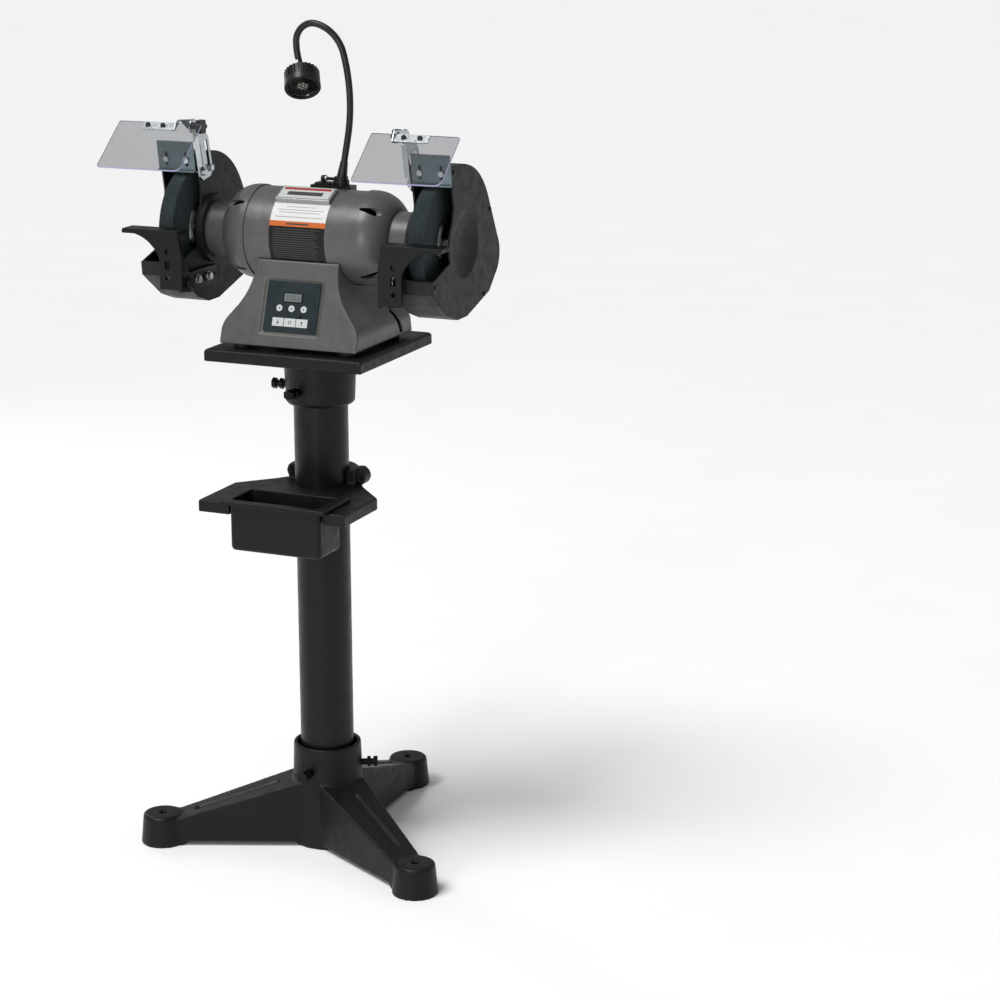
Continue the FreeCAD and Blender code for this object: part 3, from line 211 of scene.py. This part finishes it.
def turned_metal(name, colour, rough):
    """Lathe-turned steel, with fine rings about the arbor."""
    kit = Shader(name)
    ring_rate = 9000.0       # radians a metre: a ring about every 0.7 mm
    split = kit.add("SeparateXYZ", Vector=kit.place)
    across = kit.maths("SUBTRACT", split.outputs[2], arbor_level())
    reach = kit.maths("SQRT", kit.maths("ADD", kit.maths("MULTIPLY", across, across),
                                        kit.maths("MULTIPLY", split.outputs[1], split.outputs[1])))
    total = kit.maths("ADD", reach, split.outputs[0])
    ring = kit.maths("SINE", kit.maths("MULTIPLY", total, ring_rate))
    tint = kit.mix(kit.noise(60, 4), rgb(*[c * 0.75 for c in colour]), rgb(*colour))
    shine = kit.span(kit.noise(200, 3), rough - 0.06, rough + 0.12, 0.3, 0.7)
    return kit.set(Base_Color=tint, Roughness=shine, Metallic=1.0, Normal=kit.bump(ring, 0.00002, 0.5))


def arbor_level():
    """The height of the arbor's axis."""
    low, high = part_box("rotor_core")
    return (low.z + high.z) / 2


def plastic(name, colour, rough, grain=700, height=0.00006, speck=0.12, gloss=0.35):
    """Moulded plastic or printed film, with a fine spark-eroded grain and handling marks."""
    kit = Shader(name)
    fine = kit.noise(grain, 3, 0.6)
    cloud = kit.noise(22, 4)
    tint = kit.mix(cloud, rgb(*[c * (1 - speck) for c in colour]),
                   rgb(*[min(1, c * (1 + speck)) for c in colour]))
    shine = kit.span(kit.noise(45, 5), rough - 0.06, rough + 0.12, 0.3, 0.7)
    return kit.set(Base_Color=tint, Roughness=shine, Normal=kit.bump(fine, height, 0.8),
                   Specular_IOR_Level=gloss)


def rubber(name, colour, rough=0.55):
    """Dull rubber with a fine skin and a little dust."""
    kit = Shader(name)
    dust = kit.span(kit.noise(60, 5), 0.0, 0.06, 0.45, 0.75)
    tint = kit.mix(dust, rgb(*colour), rgb(0.14, 0.14, 0.135))
    shine = kit.span(kit.noise(90, 4), rough - 0.1, rough + 0.12, 0.3, 0.7)
    return kit.set(Base_Color=tint, Roughness=shine, Normal=kit.bump(kit.noise(800, 3), 0.00008, 0.7),
                   Specular_IOR_Level=0.35)


def abrasive():
    """Bonded grit: dark grey-green grains with bright and dark specks, and open pores."""
    kit = Shader("vitrified_grit")
    cells = kit.add("TexVoronoi", Vector=kit.place, Scale=1100.0)
    grains = cells.outputs["Distance"]
    colour = cells.outputs["Color"]
    grain_tone = kit.add("SeparateColor", Color=colour).outputs[0]
    tint = kit.ramp(grain_tone, [(0.0, (0.018, 0.026, 0.029)), (0.5, (0.032, 0.045, 0.050)),
                                 (0.85, (0.046, 0.062, 0.068)), (1.0, (0.10, 0.12, 0.125))])
    cloud = kit.noise(24, 5)
    tint = kit.mix(kit.span(cloud, 0.0, 0.5, 0.4, 0.7), tint, rgb(0.026, 0.036, 0.040))
    pores = kit.noise(900, 3, 0.7)
    skin = kit.bump(pores, 0.0003, 0.8, kit.bump(grains, 0.0005, 0.7))
    return kit.set(Base_Color=tint, Roughness=kit.span(pores, 0.75, 0.98), Normal=skin,
                   Specular_IOR_Level=0.3)


def acrylic(name, colour, rough):
    """Clear sheet, with hairline scratches and a little haze in its surface."""
    kit = Shader(name)
    hair = kit.noise(700, 2, 0.5, stretch=(1, 0.05, 0.05))
    haze = kit.noise(18, 5)
    shine = kit.maths("ADD", kit.span(hair, 0.0, 0.05, 0.62, 0.8),
                      kit.span(haze, rough, rough + 0.05, 0.3, 0.8))
    tint = kit.mix(haze, rgb(*[c * 0.97 for c in colour]), rgb(*colour))
    return kit.set(Base_Color=tint, Roughness=shine, Transmission_Weight=1.0, IOR=1.49)


def lamination():
    """Thin steel sheets stacked along the arbor."""
    kit = Shader("stacked_laminations")
    sheet_rate = 12000.0     # radians a metre: a sheet about every 0.5 mm
    split = kit.add("SeparateXYZ", Vector=kit.place)
    sheets = kit.maths("SINE", kit.maths("MULTIPLY", split.outputs[0], sheet_rate))
    tint = kit.mix(kit.span(sheets, 0.0, 1.0, -1.0, 1.0), rgb(0.12, 0.12, 0.13), rgb(0.3, 0.3, 0.31))
    return kit.set(Base_Color=tint, Metallic=1.0, Roughness=kit.span(kit.noise(80), 0.35, 0.6),
                   Normal=kit.bump(sheets, 0.00003, 0.6))


def winding():
    """Varnished copper turns."""
    kit = Shader("varnished_windings")
    coil = {"wave_type": "RINGS", "rings_direction": "X"}
    turns = kit.add("TexWave", coil, Vector=kit.place, Scale=260.0, Distortion=3.0).outputs["Fac"]
    tint = kit.mix(turns, rgb(0.18, 0.05, 0.015), rgb(0.62, 0.27, 0.1))
    return kit.set(Base_Color=tint, Metallic=0.7, Roughness=kit.span(turns, 0.3, 0.5),
                   Normal=kit.bump(turns, 0.0004, 0.8))


def print_ink(name, colour, rough=0.45):
    """Printed or painted film, a little uneven in tone."""
    kit = Shader(name)
    tint = kit.mix(kit.noise(120, 4), rgb(*[c * 0.9 for c in colour]),
                   rgb(*[min(1.0, c * 1.06) for c in colour]))
    return kit.set(Base_Color=tint, Roughness=kit.span(kit.noise(60, 4), rough - 0.08, rough + 0.08),
                   Normal=kit.bump(kit.noise(900, 2), 0.00002, 0.5), Specular_IOR_Level=0.25)


def glow(name, colour, rough, strength):
    """A surface that gives off a little light."""
    kit = Shader(name)
    tint = kit.mix(kit.noise(500, 3), rgb(*[c * 0.8 for c in colour]), rgb(*colour))
    return kit.set(Base_Color=tint, Roughness=kit.span(kit.noise(90), rough, rough + 0.1),
                   Emission_Color=rgb(*colour), Emission_Strength=strength)


SURFACE = {
    "cast_black": cast_paint("cast_black", (0.0052, 0.0058, 0.0062), (0.03, 0.03, 0.03), 0.40, 520, 0.00022,
                             0.003, 0.20),
    "tube_black": smooth_paint("tube_black", (0.0048, 0.0054, 0.0058), 0.34),
    "grey_paint": cast_paint("grey_paint", (0.072, 0.0705, 0.068), (0.2, 0.195, 0.185), 0.34, 640, 0.0001,
                             0.01, 0.5, 0.25),
    "guard_paint": cast_paint("guard_paint", (0.0165, 0.0178, 0.0188), (0.06, 0.06, 0.06), 0.44, 700,
                              0.00008, 0.0, 0.14, 0.0),
    "zinc_plate": metal("zinc_plate", (0.50, 0.53, 0.55), 0.30, 260, mottle=0.16),
    "spark_steel": metal("spark_steel", (0.16, 0.205, 0.225), 0.40, 200, mottle=0.12),
    "black_steel": metal("black_steel", (0.020, 0.021, 0.023), 0.38, 340, mottle=0.2),
    "bright_steel": turned_metal("bright_steel", (0.42, 0.43, 0.43), 0.28),
    "core_steel": lamination(),
    "copper_wire": winding(),
    "fan_metal": metal("fan_metal", (0.6, 0.6, 0.61), 0.4),
    "abrasive": abrasive(),
    "clear_acrylic": acrylic("clear_acrylic", (0.53, 0.535, 0.55), 0.02),
    "lens_clear": acrylic("lens_clear", (0.8, 0.83, 0.86), 0.02),
    "black_plastic": plastic("black_plastic", (0.0068, 0.0070, 0.0074), 0.34),
    "neck_rubber": rubber("neck_rubber", (0.0060, 0.0068, 0.0074), 0.34),
    "foot_rubber": rubber("foot_rubber", (0.012, 0.012, 0.012), 0.6),
    "panel_film": plastic("panel_film", (0.0085, 0.0165, 0.0195), 0.32, 900, 0.00003),
    "key_plastic": plastic("key_plastic", (0.46, 0.475, 0.48), 0.42, 800, 0.00003, 0.04),
    "board_green": plastic("board_green", (0.03, 0.16, 0.07), 0.35, 500),
    "badge_metal": metal("badge_metal", (0.34, 0.35, 0.34), 0.42, 500, (1, 0.05, 0.05), 0.06, dark=0.1),
}
INK = {
    "red": print_ink("ink_red", (0.30, 0.018, 0.026)),
    "white": print_ink("ink_white", (0.62, 0.62, 0.61)),
    "orange": print_ink("ink_orange", (0.50, 0.115, 0.022)),
    "black": print_ink("ink_black", (0.0062, 0.0062, 0.0066), 0.4),
    "grey": print_ink("ink_grey", (0.045, 0.045, 0.046)),
    "faint": print_ink("ink_faint", (0.30, 0.30, 0.30)),
    "display": print_ink("display_grey", (0.135, 0.155, 0.155), 0.25),
    "segment": print_ink("display_segment", (0.10, 0.118, 0.116), 0.25),
    "edge": print_ink("acrylic_edge", (0.36, 0.35, 0.56), 0.2),
    "face": print_ink("badge_face", (0.50, 0.52, 0.50), 0.35),
    "led": glow("led_chip", (0.85, 0.82, 0.6), 0.3, 0.05),
    "reflector": metal("reflector", (0.6, 0.6, 0.6), 0.16),
}


# ---- mesh tools -------------------------------------------------------------------------------

def piece(name, mesh, material, body):
    """A new visible object that rides on a body."""
    item = bpy.data.objects.new(name, mesh)
    SCENE.collection.objects.link(item)
    mesh.materials.append(material)
    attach(item, body)
    return item


def smooth(mesh, angle=DETAIL_ANGLE):
    """Shades a mesh smoothly, except over edges sharper than the angle."""
    mesh.polygons.foreach_set("use_smooth", [True] * len(mesh.polygons))
    mesh.set_sharp_from_angle(angle=math.radians(angle))


def clean_mesh(node, join_flats):
    """A copy of a CAD node's mesh, welded, and with the triangles of each flat face joined up if asked."""
    source = bmesh.new()
    source.from_mesh(frame["nodes"][node].data)
    bmesh.ops.remove_doubles(source, verts=source.verts, dist=2e-6)
    if join_flats:
        bmesh.ops.dissolve_limit(source, angle_limit=math.radians(0.05), verts=source.verts,
                                 edges=source.edges)
    mesh = bpy.data.meshes.new(node + "_finished")
    source.to_mesh(mesh)
    source.free()
    return mesh


def finished(node, bevel, angle=EDGE_ANGLE):
    """A detailed copy stands for a CAD node: its edges are rounded and its curves shade smoothly."""
    mesh = clean_mesh(node, join_flats=True)
    item = piece(node + "_finished", mesh, SURFACE[SLOT_OF[node]], BODY_OF[node])
    smooth(mesh, angle)
    rounding = item.modifiers.new("rounding", "BEVEL")
    rounding.width = bevel
    rounding.segments = 2
    rounding.limit_method = "ANGLE"
    rounding.angle_limit = math.radians(angle)
    rounding.harden_normals = True
    rounding.use_clamp_overlap = True
    even = item.modifiers.new("even_normals", "WEIGHTED_NORMAL")
    even.keep_sharp = True
    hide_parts(node)
    return item


def casting(node, voxel, passes):
    """A copy with the soft corners and fillets of a casting, in place of a CAD node."""
    mesh = clean_mesh(node, join_flats=False)
    item = piece(node + "_casting", mesh, SURFACE[SLOT_OF[node]], BODY_OF[node])
    skin = item.modifiers.new("skin", "REMESH")
    skin.mode = "VOXEL"
    skin.voxel_size = voxel
    skin.use_smooth_shade = True
    relax = item.modifiers.new("relax", "SMOOTH")
    relax.iterations = passes
    relax.factor = 0.5
    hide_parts(node)
    return item


def from_faces(name, points, faces, material, body):
    """A new piece from its corner points and faces."""
    mesh = bpy.data.meshes.new(name)
    mesh.from_pydata([tuple(p) for p in points], [], faces)
    mesh.validate()
    smooth(mesh)
    return piece(name, mesh, material, body)


def lathe(name, profile, centre, axis, material, body, steps=64):
    """Turns (distance along the axis, radius) pairs about an axis through a point."""
    axis = Vector(axis).normalized()
    side = axis.orthogonal().normalized()
    other = axis.cross(side)
    points, faces = [], []
    for along, radius in profile:
        for step in range(steps):
            turn = 2 * math.pi * step / steps
            points.append(Vector(centre) + axis * along
                          + (side * math.cos(turn) + other * math.sin(turn)) * radius)
    for ring in range(len(profile) - 1):
        for step in range(steps):
            near = ring * steps + step
            far = ring * steps + (step + 1) % steps
            faces.append((near, far, far + steps, near + steps))
    faces.append(tuple(reversed(range(steps))))
    last = (len(profile) - 1) * steps
    faces.append(tuple(last + step for step in range(steps)))
    return from_faces(name, points, faces, material, body)


def plate(name, outline, thick, place, material, body, bevel=0.0):
    """A flat shape, given as points in a plane, made solid; place maps plane points into the frame."""
    count = len(outline)
    points = [place @ Vector((x, y, 0)) for x, y in outline]
    points += [place @ Vector((x, y, thick)) for x, y in outline]
    faces = [tuple(reversed(range(count))), tuple(range(count, 2 * count))]
    faces += [(i, (i + 1) % count, (i + 1) % count + count, i + count) for i in range(count)]
    item = from_faces(name, points, faces, material, body)
    if bevel:
        rounding = item.modifiers.new("rounding", "BEVEL")
        rounding.width = bevel
        rounding.segments = 2
        rounding.limit_method = "ANGLE"
    return item


def rounded_rectangle(width, height, radius, x=0.0, y=0.0, steps=5):
    """Corner-rounded outline, anticlockwise, centred on (x, y)."""
    outline = []
    for corner, (sx, sy) in enumerate(((1, 1), (-1, 1), (-1, -1), (1, -1))):
        for step in range(steps + 1):
            turn = math.radians(90 * corner + 90 * step / steps)
            outline.append((x + sx * (width / 2 - radius) + radius * math.cos(turn),
                            y + sy * (height / 2 - radius) + radius * math.sin(turn)))
    return outline


# ---- camera, floor and light ------------------------------------------------------------------

CAMERA_PLACE = (1.844, -3.594, 1.666)
CAMERA_AZIMUTH = math.radians(23.02)
CAMERA_ELEVATION = math.radians(14.91)
CAMERA_ROLL = math.radians(-0.07)
LENS = 91.2              # millimetres, on a sensor 36 mm wide
SKY_STRENGTH = 0.34
FLOOR_REACH = 90


def set_camera():
    """The long lens that looks at the machine from its front right, a little from above."""
    a, e = CAMERA_AZIMUTH, CAMERA_ELEVATION
    right = Vector((math.cos(a), math.sin(a), 0))
    back = Vector((math.sin(a) * math.cos(e), -math.cos(a) * math.cos(e), math.sin(e)))
    up = back.cross(right)
    turn = Matrix((right, up, back)).transposed().to_4x4() @ Matrix.Rotation(CAMERA_ROLL, 4, "Z")
    lens = bpy.data.cameras.new("camera")
    lens.lens = LENS
    lens.sensor_width = 36
    lens.clip_end = 50
    camera = bpy.data.objects.new("camera", lens)
    SCENE.collection.objects.link(camera)
    camera.matrix_world = Matrix.Translation(CAMERA_PLACE) @ turn
    SCENE.camera = camera


def area_light(name, place, target, size, power):
    """A soft box that faces a target."""
    data = bpy.data.lights.new(name, "AREA")
    data.shape = "RECTANGLE"
    data.size, data.size_y = size
    data.energy = power
    item = bpy.data.objects.new(name, data)
    SCENE.collection.objects.link(item)
    item.location = place
    item.rotation_euler = (Vector(target) - Vector(place)).to_track_quat("-Z", "Y").to_euler()


def sun(name, towards, spread, power):
    """A broad far-off lamp that shines from a direction, so that the floor is lit evenly."""
    data = bpy.data.lights.new(name, "SUN")
    data.angle = math.radians(spread)
    data.energy = power
    item = bpy.data.objects.new(name, data)
    SCENE.collection.objects.link(item)
    item.rotation_euler = Vector(towards).to_track_quat("Z", "Y").to_euler()


def set_stage():
    """A pale floor, an even pale sky, and three lamps."""
    floor = bpy.data.meshes.new("floor")
    corners = [(x * FLOOR_REACH, y * FLOOR_REACH, 0) for x, y in ((-1, -1), (1, -1), (1, 1), (-1, 1))]
    floor.from_pydata(corners, [], [(0, 1, 2, 3)])
    item = bpy.data.objects.new("floor", floor)
    SCENE.collection.objects.link(item)
    kit = Shader("pale_floor")
    tint = kit.mix(kit.noise(3, 4), rgb(0.88, 0.88, 0.88), rgb(0.92, 0.92, 0.92))
    floor.materials.append(kit.set(Base_Color=tint, Roughness=kit.span(kit.noise(8), 0.7, 0.9)))
    world = bpy.data.worlds.new("studio")
    world.use_nodes = True
    sky = world.node_tree.nodes["Background"]
    sky.inputs["Color"].default_value = rgb(1, 1, 1)
    sky.inputs["Strength"].default_value = SKY_STRENGTH
    SCENE.world = world
    middle = (0, 0, 0.9)
    sun("daylight", (-0.40, -0.70, 1.5), 30, 2.45)
    area_light("front_box", (0.1, -3.6, 1.5), middle, (0.8, 1.6), 34)
    area_light("rim_box", (-2.5, 1.5, 2.0), middle, (0.5, 2.2), 12)
    SCENE.view_settings.view_transform = "Standard"
    SCENE.view_settings.exposure = 0.0


set_camera()
set_stage()

# ---- castings and other carried-over pieces ---------------------------------------------------

# Castings: the size of the voxels that round their corners off, and the passes that smooth them.
CASTINGS = {
    "stand_base": (2.3 * MM, 5),
    "top_plate": (1.8 * MM, 3),
    "tool_tray": (1.7 * MM, 3),
    "water_pot": (1.3 * MM, 3),
    "base_housing": (1.9 * MM, 3),
}
REST_CASTING = (1.0 * MM, 3)
# Pieces that each side has: the width of their rounded edges, and the angle that counts as an edge.
PAIRED_EDGES = {
    "wheel_guard": (0.8 * MM, EDGE_ANGLE),
    "guard_cover": (0.7 * MM, COVER_RIM_ANGLE),
    "end_bell": (0.8 * MM, EDGE_ANGLE),
    "grinding_wheel": (0.5 * MM, EDGE_ANGLE),
    "spark_arrestor": (0.4 * MM, EDGE_ANGLE),
    "rest_bracket": (0.6 * MM, EDGE_ANGLE),
    "shield_arm": (0.35 * MM, EDGE_ANGLE),
    "shield_hinge": (0.3 * MM, EDGE_ANGLE),
    "shield_knob": (0.7 * MM, EDGE_ANGLE),
}
SOFT_EDGE = 0.6 * MM
FINE_EDGE = 0.3 * MM
SHEET_EDGE = 0.35 * MM
SOFT_EDGES = ("column_tube", "motor_shell", "lamp_base", "nameplate", "control_panel")
FINE_EDGES = (
    "lock_bolts", "jam_nuts", "tray_set_bolts", "mounting_screws", "rubber_feet", "cable_gland",
    "end_bell_screws", "arbor_nuts", "wheel_flanges", "cover_screws", "guard_bolts", "lamp_head",
    "lamp_lens", "lamp_gooseneck", "preset_button_left", "preset_button_middle",
    "preset_button_right", "down_key", "stop_key", "up_key", "arbor_shaft",
)
INSIDE = ("circuit_board", "stator_core", "stator_windings", "rotor_core", "bearing_outer_rings",
          "bearing_inner_races", "cooling_fan")

for name, (voxel, passes) in CASTINGS.items():
    casting(name, voxel, passes)
for side in SIDES:
    casting("tool_rest_" + side, *REST_CASTING)
    for name, (width, angle) in PAIRED_EDGES.items():
        finished(name + "_" + side, width, angle)
for name in SOFT_EDGES:
    finished(name, SOFT_EDGE)
for name in FINE_EDGES:
    finished(name, FINE_EDGE)
for name in INSIDE:
    node = frame["nodes"][name]
    node.data.materials.clear()
    node.data.materials.append(SURFACE[SLOT_OF[name]])


# ---- surface details ---------------------------------------------------------------------------

PRINT = 0.12 * MM        # the thickness of a sign or a label
SINK = 0.02 * MM         # how far a sign's foot is sunk, so that no gap shows
KEY_FRONT = (0, -1, 0.3)


def flat_face(node, toward):
    """The place of a node's largest flat face that looks a given way: across, up and out of it."""
    mesh = frame["nodes"][node].data
    toward = Vector(toward).normalized()
    groups = {}
    for polygon in mesh.polygons:
        if polygon.normal.dot(toward) > 0.5:
            key = tuple(round(c, 2) for c in (*polygon.normal, polygon.normal.dot(polygon.center) / MM))
            groups.setdefault(key, []).append(polygon)
    best = max(groups.values(), key=lambda group: sum(polygon.area for polygon in group))
    out = best[0].normal.copy()
    across = Vector((1, 0, 0)) if abs(out.x) < 0.5 else Vector((0, 1, 0))
    across = (across - out * across.dot(out)).normalized()
    up = out.cross(across)
    corners = [mesh.vertices[index].co for polygon in best for index in polygon.vertices]
    middle = out * corners[0].dot(out)
    for way in (across, up):
        reach = [corner.dot(way) for corner in corners]
        middle = middle + way * (min(reach) + max(reach)) / 2
    place = Matrix((across, up, out)).transposed().to_4x4()
    place.translation = middle
    return place


def raised(place, height):
    """The same place, moved out from its surface."""
    return place @ Matrix.Translation((0, 0, height))


def disc(radius, steps=32, x=0.0, y=0.0):
    """The outline of a circle about (x, y)."""
    turns = [2 * math.pi * step / steps for step in range(steps)]
    return [(x + radius * math.cos(turn), y + radius * math.sin(turn)) for turn in turns]


def in_mm(outline):
    """Pairs of millimetres, as metres."""
    return [(x * MM, y * MM) for x, y in outline]


def panel_marks():
    """The window above the buttons, a spot on each button, and the signs on the keys."""
    body = BODY_OF["control_panel"]
    film = flat_face("control_panel", KEY_FRONT)
    window_up = 15 * MM
    surround = rounded_rectangle(35 * MM, 17 * MM, 1.6 * MM, 0, window_up)
    plate("display_surround", surround, 0.45 * MM, film, INK["black"], body, bevel=0.12 * MM)
    window = rounded_rectangle(30 * MM, 12.6 * MM, 0.7 * MM, 0, window_up)
    plate("display_window", window, 0.35 * MM, raised(film, 0.25 * MM), INK["display"], body)
    cell_pitch, row_pitch = 6.4 * MM, 4.7 * MM
    for column in range(4):
        for row in range(2):
            cell = rounded_rectangle(4.0 * MM, 3.9 * MM, 0.4 * MM, (column - 1.5) * cell_pitch,
                                     window_up + (row - 0.5) * row_pitch)
            plate("display_cell_%d_%d" % (column, row), cell, 0.05 * MM, raised(film, 0.58 * MM),
                  INK["segment"], body)
    for side in ("left", "middle", "right"):
        name = "preset_button_" + side
        top = flat_face(name, KEY_FRONT)
        plate(name + "_spot", disc(1.35 * MM), PRINT, raised(top, -SINK), INK["grey"], BODY_OF[name])
    stem, barb, neck, tip = 0.55, 2.0, 0.2, 3.6
    arrow = in_mm([(-stem, -tip), (stem, -tip), (stem, neck), (barb, neck), (0, tip), (-barb, neck),
                   (-stem, neck)])
    signs = {"up_key": arrow, "down_key": [(x, -y) for x, y in reversed(arrow)], "stop_key": disc(2.7 * MM)}
    for name, sign in signs.items():
        top = flat_face(name, KEY_FRONT)
        plate(name + "_sign", sign, PRINT, raised(top, -SINK), INK["black"], BODY_OF[name])
    stop = flat_face("stop_key", KEY_FRONT)
    plate("stop_key_middle", disc(1.8 * MM), PRINT + SINK, stop, SURFACE["key_plastic"], BODY_OF["stop_key"])


def wrapped(name, left, right, start, end, lift, thick, material):
    """A label on the barrel, between two distances along it and two angles forward of its top."""
    level = arbor_level()
    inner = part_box("motor_shell")[1].y + lift
    steps = max(2, round((end - start) / 2))
    points, faces = [], []
    for step in range(steps + 1):
        turn = math.radians(start + (end - start) * step / steps)
        for x, radius in ((left, inner), (right, inner), (right, inner + thick), (left, inner + thick)):
            points.append((x, -radius * math.sin(turn), level + radius * math.cos(turn)))
    for step in range(steps):
        ring = 4 * step
        for corner in range(4):
            after = (corner + 1) % 4
            faces.append((ring + corner, ring + after, ring + 4 + after, ring + 4 + corner))
    faces.append((3, 2, 1, 0))
    faces.append(tuple(4 * steps + corner for corner in range(4)))
    from_faces(name, points, faces, material, BODY_OF["motor_shell"])


def barrel_labels():
    """A white label, an orange strip and a dark label with rows of plain lines."""
    half = 49 * MM
    ground_lift = 0.02 * MM
    grounds = (("white", "white", 39, 66), ("orange", "orange", 66.2, 72.5), ("dark", "black", 72.7, 116))
    for name, ink, start, end in grounds:
        wrapped("label_" + name, -half, half, start, end, ground_lift, PRINT, INK[ink])
    lift = ground_lift + PRINT
    ink_film = 0.03 * MM
    wrapped("label_bar", -20 * MM, 20 * MM, 68.3, 70.4, lift, ink_film, INK["grey"])
    for row, (angle, reach) in enumerate(((46, 26), (50.5, 40), (54, 36), (60, 42))):
        wrapped("label_row_%d" % row, -reach * MM, reach * MM, angle, angle + 1.1, lift, ink_film,
                INK["faint"])
    first_line, line_pitch = 75.5, 2.8
    for row in range(14):
        angle = first_line + line_pitch * row
        reach = 40 - 9 * ((row * 5) % 7) / 6     # ragged right-hand ends, from 40 down to 31 mm
        wrapped("label_line_%d" % row, -42 * MM, reach * MM, angle, angle + 1.0, lift, ink_film,
                INK["grey"])


def badge():
    """The badge's pale face, with a red strip and a plain bar."""
    body = BODY_OF["nameplate"]
    top = flat_face("nameplate", (0, -0.4, 1))
    plate("badge_face", rounded_rectangle(89 * MM, 29 * MM, 1.5 * MM), 0.6 * MM, top, INK["face"], body,
          bevel=0.2 * MM)
    marks = (("strip", "red", rounded_rectangle(83 * MM, 5.5 * MM, 0.8 * MM, 0, 9.5 * MM)),
             ("bar", "grey", rounded_rectangle(62 * MM, 9.5 * MM, 1.0 * MM, 0, -3 * MM)))
    for name, ink, outline in marks:
        plate("badge_" + name, outline, 0.25 * MM, raised(top, 0.5 * MM), INK[ink], body)


SHIELD_SCREWS = {"right": (-13, 14), "left": (7, -20)}      # millimetres along the hinge plate


def shield_fixings(side):
    """Black screws with washers through the hinge plate and the sheet, and the sheet's tinted edge."""
    body = BODY_OF["shield_hinge_" + side]
    sheet = finished("eye_shield_" + side, SHEET_EDGE)
    out = flat_face("eye_shield_" + side, (0, -0.4, 1)).col[2].xyz
    sheet.data.materials.append(INK["edge"])
    for polygon in sheet.data.polygons:
        if abs(polygon.normal.dot(out)) < 0.5:
            polygon.material_index = 1
    strip = flat_face("shield_hinge_" + side, (0, -0.3, 1))
    under = flat_face("eye_shield_" + side, (0, 0.4, -1))
    depth = (strip.translation - under.translation).dot(out)
    washer = 0.8
    nut = 3.0
    head = [(washer, 4.1), (2.4, 4.1), (3.3, 3.3), (3.6, 1.8)]
    for number, x in enumerate(SHIELD_SCREWS[side]):
        spot = strip @ Vector((x * MM, 0, 0))
        below = spot - out * (depth + nut * MM)
        tag = "%s_%d" % (side, number)
        lathe("shield_screw_" + tag, in_mm(head), spot, out, SURFACE["black_steel"], body)
        lathe("shield_washer_" + tag, in_mm([(0, 5.0), (washer, 5.0)]), spot, out, SURFACE["zinc_plate"],
              body)
        lathe("shield_nut_" + tag, in_mm([(0, 3.9), (nut, 3.9)]), below, out, SURFACE["black_steel"], body,
              steps=6)


def lamp_ribs(lens, body):
    """Grip ribs around the lamp's can, each narrower at its crest."""
    ribs = 26
    near, far = -27.6 * MM, -9.4 * MM
    low, high = 25.4 * MM, 28.4 * MM
    foot, crest = 1.875 * MM, 1.25 * MM
    points, faces = [], []
    for rib in range(ribs):
        turn = 2 * math.pi * rib / ribs
        radial = Vector((math.cos(turn), math.sin(turn), 0))
        side = Vector((-math.sin(turn), math.cos(turn), 0))
        first = len(points)
        for depth in (near, far):
            for radius, half in ((low, -foot), (low, foot), (high, crest), (high, -crest)):
                points.append(lens @ (radial * radius + side * half + Vector((0, 0, depth))))
        faces += [(first, first + 1, first + 2, first + 3), (first + 7, first + 6, first + 5, first + 4)]
        for corner in range(4):
            after = (corner + 1) % 4
            faces.append((first + corner, first + 4 + corner, first + 4 + after, first + after))
    from_faces("lamp_ribs", points, faces, SURFACE["black_plastic"], body)


def lamp_details():
    """The ribs on the lamp's can, and the bright cup with its lights behind the lens."""
    body = BODY_OF["lamp_head"]
    lens = flat_face("lamp_lens", (0.358, -0.6, -0.716))
    lamp_ribs(lens, body)
    film = 0.01 * MM
    layer = 0.012 * MM
    behind = raised(lens, -2.56 * MM)
    plate("lamp_back", disc(23.5 * MM, 64), film, behind, INK["black"], body)
    plate("lamp_cup", disc(10 * MM, 48), film, raised(behind, layer), INK["reflector"], body)
    around = 6
    for number in range(around + 1):
        turn = 2 * math.pi * number / around
        reach = 6.2 * MM if number < around else 0
        spot = disc(1.9 * MM, 16, reach * math.cos(turn), reach * math.sin(turn))
        plate("lamp_light_%d" % number, spot, film, raised(behind, 2 * layer), INK["led"], body)


def lamp_clamp():
    """A thumb screw with a bright collar, beside the foot of the lamp's neck."""
    low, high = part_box("lamp_base")
    spot = Vector((low.x + 0.34 * (high.x - low.x), (low.y + high.y) / 2, high.z + 1.5 * MM))
    body = BODY_OF["lamp_base"]
    grip = [(-9, 3.5), (-8.5, 5.2), (-2, 5.6), (-1.4, 4.4)]
    along = (1, 0, 0)
    lathe("lamp_screw_grip", in_mm(grip), spot, along, SURFACE["black_plastic"], body, steps=18)
    lathe("lamp_screw_collar", in_mm([(-1.5, 4.6), (0.6, 4.6)]), spot, along, SURFACE["zinc_plate"], body)
    lathe("lamp_screw_shank", in_mm([(0.5, 2.6), (16, 2.6)]), spot, along, SURFACE["black_steel"], body)


panel_marks()
barrel_labels()
badge()
for side in SIDES:
    shield_fixings(side)
lamp_details()
lamp_clamp()
